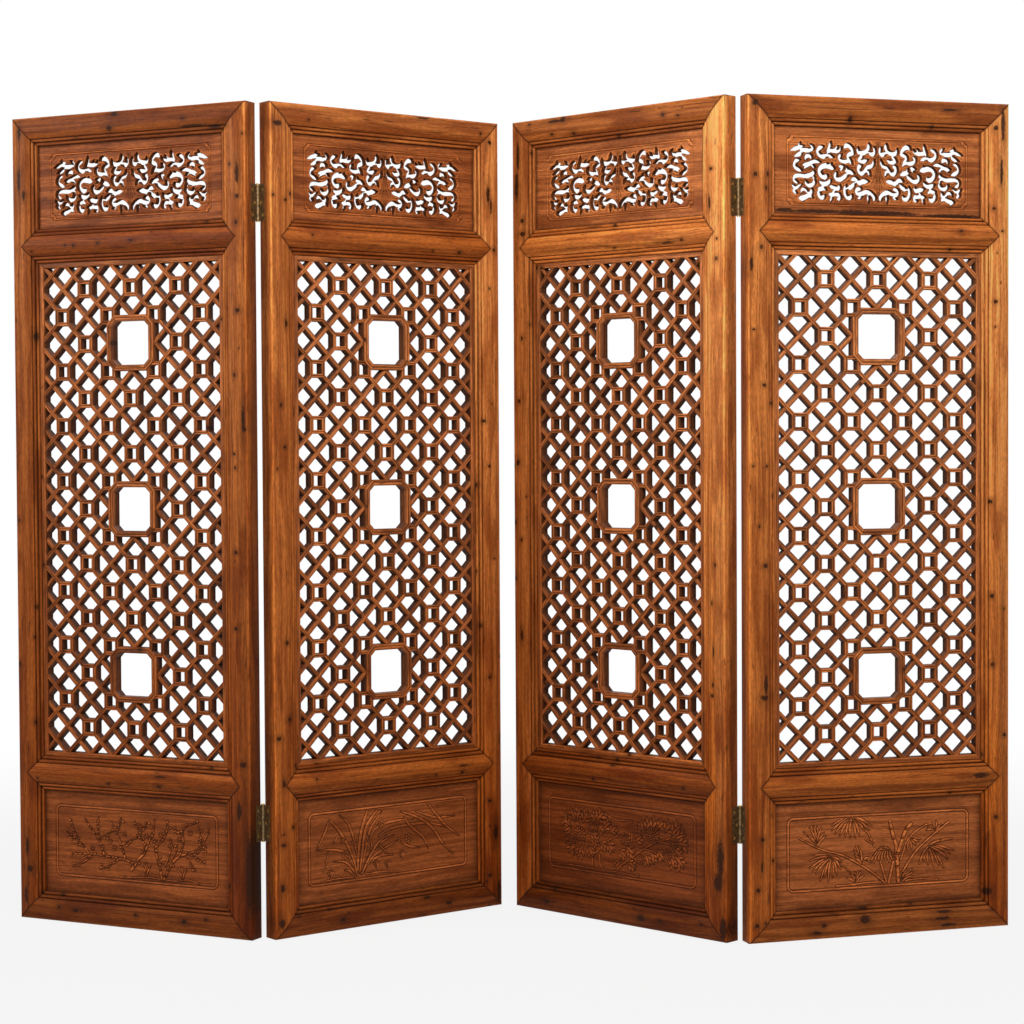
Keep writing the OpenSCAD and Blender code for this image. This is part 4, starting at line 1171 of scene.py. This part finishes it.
def palm(r):
    """Leaf 4: bamboo-like stems with fans of narrow leaves."""
    r.stroke([(-103, -73), (-60, -72), (-30, -70), (20, -71)], 1.2, 1.5, 0.8)
    r.stroke([(60, -71), (100, -69), (143, -73)], 1.6, 1.0, 0.8)
    r.stroke([(17, -75), (-16, -48), (-54, -24), (-91, -5), (-128, 6), (-153, 16), (-194, 38)],
             2.2, 1.1, 1.4, 0.2)
    r.stroke([(-58, 74), (-34, 48), (-24, 36), (-17, 20), (-10, 9)], 1.6, 1.4, 1.3)
    r.stroke([(-32, 26), (-24, 21), (-15, 17)], 1.1, 1.2, 1.2)
    r.stroke([(-110, -12), (-84, -32), (-68, -46)], 1.0, 0.6, 1.0)
    r.fan((-148, 17), [(-180, 50), (-171, 44), (-166, 59), (-157, 62), (-148, 60), (-138, 58),
                       (-131, 47), (-127, 39)], 1.5)
    r.fan((-113, -8), [(-158, -2), (-166, -14), (-166, -30), (-159, -38), (-151, -43),
                       (-141, -60), (-132, -52), (-121, -63), (-111, -53), (-101, -48),
                       (-92, -36), (-90, -20)], 1.7)
    r.fan((-65, 78), [(-114, 60), (-113, 50), (-105, 43), (-94, 37), (-81, 35), (-69, 31),
                      (-57, 31), (-47, 36), (-35, 45), (-23, 46), (-17, 54)], 1.9)
    r.fan((120, 3), [(181, 17), (150, 14), (183, -10), (174, -17), (168, -28), (158, -48),
                     (146, -42), (133, -44), (120, -38), (109, -30), (98, -36)], 1.9)
    r.stroke([(4, -26), (12, -52), (20, -75)], 1.8, 2.4, 1.3)
    r.stroke([(36, -20), (30, -46), (23, -75)], 2.2, 2.8, 1.4)
    r.stroke([(47, -75), (45, -38), (43, -8), (41, 12), (33, 35), (27, 62)], 3.6, 3.2, 1.7)
    r.stroke([(46, -8), (56, 19), (64, 39), (78, 55)], 3.4, 3.0, 1.7)
    for x, z in ((45, -38), (43, -10), (36, 24), (30, 46), (58, 24), (68, 43)):
        r.stroke([(x - 4, z), (x + 4, z + 0.6)], 0.6, 0.6, 1.9)
    r.stroke([(53, -24), (60, -4), (68, 17), (88, 37), (116, 52)], 1.6, 1.2, 1.3)
    r.stroke([(58, -50), (73, -28), (93, -3), (120, 19), (145, 37), (171, 55)], 2.1, 1.6, 1.4)
    r.fan((75, 20), [(101, 20), (97, 14), (90, 6), (79, -2), (69, -3)], 1.5)
    r.fan((140, 38), [(115, 39), (119, 46), (123, 50), (130, 54), (139, 58), (152, 50)], 1.4)
    r.fan((-55, -68), [(-77, -57), (-68, -48), (-58, -44), (-50, -42), (-43, -43), (-36, -53)], 1.5)
    r.fan((55, -72), [(62, -50), (68, -46), (81, -45), (84, -52), (81, -61)], 1.5)
    r.fan((-42, -28), [(-60, 4), (-56, 14), (-49, 12), (-45, 4), (-58, -6), (-56, -14)], 1.7)
    r.fan((-36, -18), [(-16, -27), (-18, -20), (-24, -14)], 1.5)
    for k in range(13):
        a = math.radians(8 + 164 * k / 12)
        top = (11 + 12 * math.cos(a), -2 + 9 * math.sin(a))
        tip = (11 + 30 * math.cos(a), -14 + 20 * math.sin(a) - 10 * abs(math.cos(a)))
        r.stroke([(11, 2), top, tip], 0.8, 0.5, 1.1, 0, 1.2)
    for k in range(7):
        r.stroke([(26 - 5 * k, -2), (28 - 7 * k, -14), (34 - 9 * k, -24 - k % 2 * 3)],
                 0.8, 0.6, 1.1, 0, 0.9)


class SCREEN_OT_carved_boards(bpy.types.Operator):
    """Bottom boards with plum, orchid, chrysanthemum and bamboo in low relief"""
    bl_idname = "screen.carved_boards"
    bl_label = "Carved boards"

    def execute(self, context):
        finish = wood_finish("Carved_board_wood", "board_light", "board_dark",
                             marks=0.35, streaks=0.8)
        for leaf, picture in enumerate((plum, orchid, chrysanthemum, palm)):
            relief = Relief(222, 84)
            picture(relief)
            relief.carved_line(216.5, 79.5, 12)
            piece = self.board(relief)
            stand_in_leaf(piece.data, leaf, "carved_board", "relief", finish)
            clear_bench(piece)
        return {"FINISHED"}

    def board(self, relief):
        """A board with the relief on its front."""
        (left, low), (right, high) = CARVED_OPENING
        # Beyond the relief two rows of squares run out to the edge, 1 mm inside the grooves.
        x = np.concatenate(([left - 1, 75], relief.x + size("leaf_width") / 2, [550, right + 1]))
        z = np.concatenate(([low - 1, 80], relief.z + CARVED_MIDDLE, [285, high + 1]))
        put_down_all()
        bpy.ops.mesh.primitive_grid_add(x_subdivisions=len(x) - 1, y_subdivisions=len(z) - 1,
                                        size=1)
        piece = bpy.context.object
        mesh = piece.data
        points = points_of(mesh)
        column = np.rint((points[:, 0] + 0.5) * (len(x) - 1)).astype(int)
        row = np.rint((points[:, 1] + 0.5) * (len(z) - 1)).astype(int)

        def field(values, beyond):
            return np.pad(values, 2, constant_values=beyond)[row, column]

        uneven = np.random.default_rng(3).normal(0, 0.03, len(points))
        depth = BOARD_FRONT - field(relief.height, 0) + uneven
        placed = np.stack([x[column], depth, z[row]], axis=1)
        mesh.vertices.foreach_set("co", placed.astype(np.float32).ravel())
        mesh.update()

        def thicken():
            bpy.ops.mesh.region_to_loop()
            bpy.ops.mesh.extrude_edges_move(
                TRANSFORM_OT_translate={"value": (0, CARVED_THICKNESS, 0)})
            bpy.ops.transform.resize(value=(1, 0, 1))
            bpy.ops.mesh.edge_face_add()

        edited(piece, thicken, face_outwards)
        points = points_of(mesh)
        set_points(mesh, "grain", points[:, [0, 2, 1]])
        extra = len(points) - len(column)
        edge = np.minimum.reduce([points[:, 0] - left, right - points[:, 0],
                                  points[:, 2] - low, high - points[:, 2]])
        # Painted shade on the board beside the frame, fading out 32 mm in; the sides and back get
        # some as well.
        near = np.clip(1 - edge / 32, 0, 1) ** 1.3 * 0.7
        set_mask(mesh, "wear_and_highlight", np.concatenate([field(relief.wear_and_highlight, 0.05), np.zeros(extra)]))
        set_mask(mesh, "dirt_and_shade", np.maximum(
            np.concatenate([field(relief.dirt_and_shade, 0.1), np.full(extra, 0.3)]), near))
        smooth_over(piece, 60)
        return piece


def outlines_of(node, leaf, depth):
    """Closed outlines, in X and Z, of the faces of a CAD node at one depth of its leaf."""
    work = bmesh.new()
    work.from_mesh(bpy.data.objects[node].data)
    bmesh.ops.transform(work, matrix=leaf_place(leaf).inverted(), verts=work.verts)
    bmesh.ops.remove_doubles(work, verts=work.verts, dist=0.02)
    work.verts.index_update()
    work.verts.ensure_lookup_table()
    flat = {f for f in work.faces if all(abs(v.co.y - depth) < 0.05 for v in f.verts)}
    after = {loop.vert.index: loop.link_loop_next.vert.index
             for face in flat for loop in face.loops
             if sum(f in flat for f in loop.edge.link_faces) == 1}
    outlines = []
    while after:
        here, outline = next(iter(after)), []
        while here in after:
            outline.append(np.array((work.verts[here].co.x, work.verts[here].co.z)))
            here = after.pop(here)
        outlines.append(outline)
    work.free()
    return outlines


def rectangle(w, h):
    return [np.array((sx * w / 2, sz * h / 2)) for sx, sz in ((1, 1), (-1, 1), (-1, -1), (1, -1))]


def hollow_cornered(w, h, r, steps=8):
    """A rectangle whose corners are cut by quarter circles round them."""
    turns = [math.pi / 2 * k / steps for k in range(steps + 1)]
    return [np.array((sx * w / 2 - sx * r * math.cos(a), sz * h / 2 - sz * r * math.sin(a)))
            for sx, sz in ((1, 1), (-1, 1), (-1, -1), (1, -1))
            for a in turns[::-1 if sx * sz > 0 else 1]]


def sides_of(line):
    """The pairs of points that make the sides of a closed line."""
    return zip(line, line[1:] + line[:1])


def turned_left(line):
    """The same outline, running anticlockwise."""
    p = np.array(line)
    area = np.sum(p[:, 0] * np.roll(p[:, 1], -1) - np.roll(p[:, 0], -1) * p[:, 1])
    return line if area > 0 else line[::-1]


def divided(line, step):
    """The same outline with points no further apart than about one step."""
    out = []
    for a, b in sides_of(line):
        count = max(1, round(float(np.hypot(*(b - a)) / step)))
        out += [a + (b - a) * k / count for k in range(count)]
    return out


class Nearby:
    """Finds which of some points in X and Z lie near another."""

    def __init__(self, lines):
        spots = np.concatenate(lines)
        self.tree = KDTree(len(spots))
        for k, p in enumerate(spots):
            self.tree.insert((p[0], p[1], 0), k)
        self.tree.balance()

    def gap(self, p):
        """How far the nearest point is."""
        return self.tree.find((p[0], p[1], 0))[2]

    def ways(self, p, reach):
        """The ways to the points within reach, and how far they are."""
        return [(Vector((spot.x - p[0], spot.y - p[1])), gap)
                for spot, _, gap in self.tree.find_range((p[0], p[1], 0), reach)]


def opened_up(lines):
    """Anticlockwise openings made fuller, by 0.6 mm where the strand beside them stays 3.4 mm
    wide, and smoothed."""
    nearby, field = Nearby(lines), np.array(PIERCED_FIELD)
    out = []
    for line in lines:
        p = np.array(line)
        run = np.roll(p, -1, axis=0) - np.roll(p, 1, axis=0)
        length = np.maximum(np.hypot(*run.T), 1e-6)
        way = np.stack([run[:, 1], -run[:, 0]], axis=1) / length[:, None]
        room = []
        for here, outward in zip(p, way):
            across = [gap for spot, _, gap in nearby.tree.find_range((*here, 0), 8) if gap > 0.5
                      and (spot.x - here[0]) * outward[0] + (spot.y - here[1]) * outward[1]
                      > 0.6 * gap]
            room.append(max(0, min(0.6, (min(across, default=8) - 3.4) / 2)))
        p = p + way * np.array(room)[:, None]
        for _ in range(2):
            p = (np.roll(p, 1, axis=0) + 2 * p + np.roll(p, -1, axis=0)) / 4
        out.append(list(np.clip(p, -field, field)))
    return out


def within(line, spots):
    """Which spots an anticlockwise outline goes round."""
    turns = np.zeros(len(spots), dtype=int)
    x, z = spots[:, 0], spots[:, 1]
    for a, b in sides_of(line):
        side = (b[0] - a[0]) * (z - a[1]) - (x - a[0]) * (b[1] - a[1])
        turns += ((a[1] <= z) & (b[1] > z) & (side > 0)).astype(int)
        turns -= ((a[1] > z) & (b[1] <= z) & (side < 0)).astype(int)
    return turns > 0


def triangulated(loops, holes, loose):
    """Triangles inside the closed lines and outside the holes: the points, the triangles, and
    where each loop's points have gone."""
    spots, edges, rings = [], [], []
    for line in loops + holes:
        rings.append(list(range(len(spots), len(spots) + len(line))))
        spots += [Vector(p) for p in line]
        edges += list(sides_of(rings[-1]))
    spots += [Vector(p) for p in loose]
    points, _, triangles, sources, _, _ = delaunay_2d_cdt(spots, edges, [], 0, 1e-6, True)
    place = {old: new for new, olds in enumerate(sources) for old in olds}
    points = np.array(points)
    middles = points[np.array(triangles)].mean(axis=1)
    gone = np.zeros(len(middles), dtype=bool)
    for line in holes:
        low, high = np.min(line, axis=0), np.max(line, axis=0)
        near = np.flatnonzero(np.all((middles > low) & (middles < high), axis=1))
        gone[near] |= within(line, middles[near])
    kept = [tuple(t) for t, out in zip(triangles, gone) if not out]
    return points, kept, [[place[k] for k in ring] for ring in rings[:len(loops)]]


class SCREEN_OT_pierced_boards(bpy.types.Operator):
    """Top boards pierced with scrolling stems, their strands rounded and veined"""
    bl_idname = "screen.pierced_boards"
    bl_label = "Pierced boards"

    # Grooves in the bark of the right half of the trunk, from its top to its roots.
    BARK = (((4.5, 66), (4.5, 20), (6, -4), (16, -26)), ((1.5, 66), (1.5, 10), (3, -10), (9, -34)),
            ((2, -14), (3, -40), (2, -64)))

    def execute(self, context):
        finishes = [wood_finish(f"Pierced_board_wood_{leaf + 1}", "board_top_light", "board_dark",
                                marks=0.4, streaks=0.8, spots=SCORCH if leaf == 3 else ())
                    for leaf in range(4)]
        middle = np.array((size("leaf_width") / 2, PIERCED_MIDDLE))
        outlines = outlines_of("right_outer_pierced_board", 3, PIERCED_BACK)
        openings = [divided(turned_left([p - middle for p in line]), 1.3) for line in outlines
                    if np.ptp(np.array(line), axis=0).max() < 150]
        piece = self.board(opened_up(openings))
        piece.data.transform(Matrix.Translation((middle[0], 0, middle[1])))
        smooth_over(piece, 50)
        stand_in_leaves(piece, "pierced_board", "carved", finishes)
        return {"FINISHED"}

    def loose_points(self, openings, strands):
        """Points between the outlines: along the bark's grooves, in an uneven pattern all over,
        and a little beside the edges of the openings."""
        chance = random.Random(4)
        bark = [p for side in (-1, 1) for stem in self.BARK
                for p in smooth_line([(side * x, z) for x, z in stem], 26) if strands.gap(p) > 1.6]
        grooves = Nearby([bark])
        loose = list(bark)
        for row in range(-45, 46):
            for step in range(-140, 141):
                uneven = [chance.uniform(-0.15, 0.15) for _ in range(2)]
                p = np.array((step * 1.5 + row % 2 * 0.75, row * 1.5)) + uneven
                if (abs(p[0]) < 209 and abs(p[1]) < 68 and strands.gap(p) > 1.0
                        and grooves.gap(p) > 0.9):
                    loose.append(p)
        for line in openings:
            for k, p in enumerate(line):
                run = line[(k + 1) % len(line)] - line[k - 1]
                length = np.hypot(*run)
                if length > 0.3:
                    for side in (-1, 1):
                        q = p + side * 0.7 * np.array((-run[1], run[0])) / length
                        if strands.gap(q) > 0.6:
                            loose.append(q)
        return loose, grooves

    def board(self, openings):
        """A board with these openings: their edges are rounded off, and a vein runs along the
        middle of each strand."""
        strands = Nearby(openings)
        loose, grooves = self.loose_points(openings, strands)
        # Loops round the field, which is 420 by 138 mm with hollow corners of 14 mm: the board's
        # edge, the frame's edge, the end of the painted shadow that the frame casts beside it, and
        # the sides and middles of two carved lines with a ridge between them.
        ground = [rectangle(509, 202), rectangle(497, 190), rectangle(480, 173)]
        ground += [hollow_cornered(420 + 2 * g, 138 + 2 * g, 14 - g)
                   for g in (7.4, 6.2, 5.2, 3.2, 2.2, 1.2)]
        points, front, rings = triangulated(ground, openings, loose)
        line, ridge = set(rings[4] + rings[7]), set(rings[5] + rings[6])
        # Painted shadow of the frame on the board's margin, fading out towards the field.
        margin = {**{k: 0.8 for k in rings[0] + rings[1]}, **{k: 0.1 for k in rings[2]}}
        depth, wear_and_highlight, dirt_and_shade = [], [], []
        for k, p in enumerate(points):
            d = strands.gap(p)
            down = 1.4 * (1 - min(d / 2.3, 1)) ** 2
            vein = 0.0
            if 2.2 < d < 7:
                near = [way.normalized() for way, _ in strands.ways(p, d + 1.6)]
                if min(a.dot(near[0]) for a in near) < -0.2:
                    vein = 1.0
            if grooves.gap(p) < 0.1:
                vein = 1.3
            depth.append(BOARD_FRONT + down + 0.6 * vein
                         + (1.2 if k in line else -0.2 if k in ridge else 0))
            # Wear with a painted highlight on the ridge and on the strands near their rounded
            # edges; painted shade down those edges, in the veins and the carved line, and inside
            # the openings and on the back.
            wear_and_highlight.append(0.8 if k in ridge
                        else (0.75 if 1.2 < d < 4 else 0.1) * (1 - vein) if d < 8 else 0.05)
            dirt_and_shade.append(max(0.85 * (1 - min(d / 2.4, 1)), 0.7 * vein,
                            0.9 if k in line else 0, margin.get(k, 0.05)))
        count = len(points)
        place = [(p[0], y, p[1]) for p, y in zip(points, depth)]
        place += [(p[0], PIERCED_BACK, p[1]) for p in points]
        sides = {(t[k], t[(k + 1) % 3]) for t in front for k in range(3)}
        faces = front + [tuple(count + k for k in reversed(t)) for t in front]
        faces += [(b, a, count + a, count + b) for a, b in sides if (b, a) not in sides]
        mesh = bpy.data.meshes.new("pierced")
        mesh.from_pydata(place, [], faces)
        mesh.validate()
        set_points(mesh, "grain", [(x, z, y) for x, y, z in place])
        set_mask(mesh, "wear_and_highlight", wear_and_highlight + [0.0] * count)
        set_mask(mesh, "dirt_and_shade", dirt_and_shade + [0.6] * count)
        return edited(linked("pierced", mesh), bpy.ops.mesh.delete_loose, face_outwards)


# ---- hinges -----------------------------------------------------------------------

class SCREEN_OT_hinges(bpy.types.Operator):
    """Finishes of the hinge halves, pins and screws"""
    bl_idname = "screen.hinges"
    bl_label = "Hinges"

    def execute(self, context):
        bronze = metal_finish("Aged_bronze", "bronze", 0.42, 0.75)
        brass = metal_finish("Worn_brass", "brass", 0.3, 0.35)
        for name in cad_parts:
            if "hinge" in name:
                materials = bpy.data.objects[name].data.materials
                materials.clear()
                materials.append(bronze if "halves" in name else brass)
        return {"FINISHED"}


# ---- stage ------------------------------------------------------------------------

# Lamps: name, where it hangs, where it points, its power and its width.
LAMPS = (("Middle_softbox", (-0.5, -2.2, 2.6), (0.3, 0, 1.4), 17, 1.0),
         ("Right_softbox", (0.6, -2.4, 2.9), (0.6, 0, 1.5), 32, 1.0),
         ("Left_window", (-3.0, -1.0, 2.2), (0.3, -0.2, 1.2), 26, 1.2),
         ("Right_window", (3.0, -1.6, 2.8), (0.3, 0, 1.2), 12, 1.6),
         ("Back_softbox", (0.4, 3.2, 3.0), (0, 0, 1.0), 30, 2.0))


class SCREEN_OT_stage(bpy.types.Operator):
    """Pale floor, white backdrop, soft lamps and the camera"""
    bl_idname = "screen.stage"
    bl_label = "Stage"

    def execute(self, context):
        context.scene.view_settings.view_transform = "Standard"
        put_down_all()
        bpy.ops.mesh.primitive_plane_add(size=30, location=(0, 6, 0))
        floor = context.object
        floor.name = "Floor"
        floor.data.transform(Matrix.Translation((0, 6, -0.0005)))
        floor.location = (0, 0, 0)
        floor.data.materials.append(self.floor_finish())
        self.backdrop(context.scene)
        for name, at, target, power, width in LAMPS:
            lamp = bpy.data.lights.new(name, "AREA")
            lamp.energy = power
            lamp.size = width
            lit = linked(name, lamp)
            lit.location = at
            lit.rotation_euler = (Vector(target) - Vector(at)).to_track_quat("-Z", "Y").to_euler()
        self.camera(context.scene)
        return {"FINISHED"}

    def backdrop(self, scene):
        """A dim room that the camera sees as plain white."""
        world = bpy.data.worlds.new("Studio")
        scene.world = world
        world.use_nodes = True
        n = Nodes(world.node_tree)
        room = n.tree.nodes["Background"]
        n.fill(room, {"Color": (0.95, 0.97, 1, 1), "Strength": 0.27})
        white = n.add("ShaderNodeBackground", {"Color": (1, 1, 1, 1), "Strength": 1.0})
        rays = n.add("ShaderNodeLightPath").outputs
        seen = n.most(rays["Is Camera Ray"], rays["Is Glossy Ray"], rays["Is Transmission Ray"])
        self.shown(n, "World Output", seen, room, white)

    def floor_finish(self):
        """Pale floor that the camera sees fade to white away from the screen."""
        material, n, shader = new_finish("Floor_white")
        n.fill(shader, {"Base Color": colour("floor"), "Roughness": 0.9})
        glow = n.add("ShaderNodeEmission", {"Color": (1, 1, 1, 1), "Strength": 1.0})
        rays = n.add("ShaderNodeLightPath").outputs
        away = n.add("ShaderNodeVectorMath", {0: n.add("ShaderNodeTexCoord").outputs["Object"]},
                     operation="LENGTH").outputs["Value"]
        seen = n.times(n.most(rays["Is Camera Ray"], rays["Is Glossy Ray"]),
                       n.ramp(away, 1.2, 4.0, 0.86, 1.0))
        self.shown(n, "Material Output", seen, shader, glow)
        return material

    def shown(self, n, output, factor, one, other):
        """Puts one shader out at factor 0, the other at 1."""
        both = n.add("ShaderNodeMixShader", {0: factor, 1: one.outputs[0], 2: other.outputs[0]})
        n.fill(n.tree.nodes[output], {"Surface": both.outputs[0]})

    def camera(self, scene):
        """The photograph's viewpoint: tipped down a little and leaning."""
        camera = bpy.data.cameras.new("Camera")
        camera.lens = 82.2
        camera.sensor_width = 36
        eye = linked("Camera", camera)
        pitch, roll = math.radians(1.663), math.radians(0.314)
        right = Vector((1, 0, 0))
        ahead = Vector((0, math.cos(pitch), -math.sin(pitch)))
        up = right.cross(ahead)
        x = right * math.cos(roll) - up * math.sin(roll)
        y = right * math.sin(roll) + up * math.cos(roll)
        turn = Matrix((x, y, -ahead)).transposed().to_4x4()
        eye.matrix_world = Matrix.Translation((0.0148, -5.264, 1.083)) @ turn
        scene.camera = eye


# ---- add-on -----------------------------------------------------------------------

class SCREEN_PT_panel(bpy.types.Panel):
    """Lists the screen's steps, sizes and colours"""
    bl_label = "Folding screen"
    bl_idname = "SCREEN_PT_panel"
    bl_space_type = "VIEW_3D"
    bl_region_type = "UI"
    bl_category = "Screen"

    def draw(self, context):
        for step in STEPS:
            self.layout.operator(step.bl_idname)
        for group in (context.scene.screen_sizes, context.scene.screen_colours):
            box = self.layout.box()
            for name in group.__annotations__:
                box.prop(group, name)


STEPS = (SCREEN_OT_stage, SCREEN_OT_frames, SCREEN_OT_lattices, SCREEN_OT_edge_sticks,
         SCREEN_OT_window_frames, SCREEN_OT_pierced_boards, SCREEN_OT_carved_boards,
         SCREEN_OT_hinges)
CLASSES = (SCREEN_PG_sizes, SCREEN_PG_colours, *STEPS, SCREEN_PT_panel)


def register():
    for item in CLASSES:
        bpy.utils.register_class(item)
    bpy.types.Scene.screen_sizes = bpy.props.PointerProperty(type=SCREEN_PG_sizes)
    bpy.types.Scene.screen_colours = bpy.props.PointerProperty(type=SCREEN_PG_colours)


def unregister():
    del bpy.types.Scene.screen_colours
    del bpy.types.Scene.screen_sizes
    for item in reversed(CLASSES):
        bpy.utils.unregister_class(item)


def main():
    register()
    bpy.ops.screen.stage()
    bpy.ops.screen.frames()
    bpy.ops.screen.lattices()
    bpy.ops.screen.edge_sticks()
    bpy.ops.screen.window_frames()
    bpy.ops.screen.pierced_boards()
    bpy.ops.screen.carved_boards()
    bpy.ops.screen.hinges()


if __name__ == "__main__":
    main()
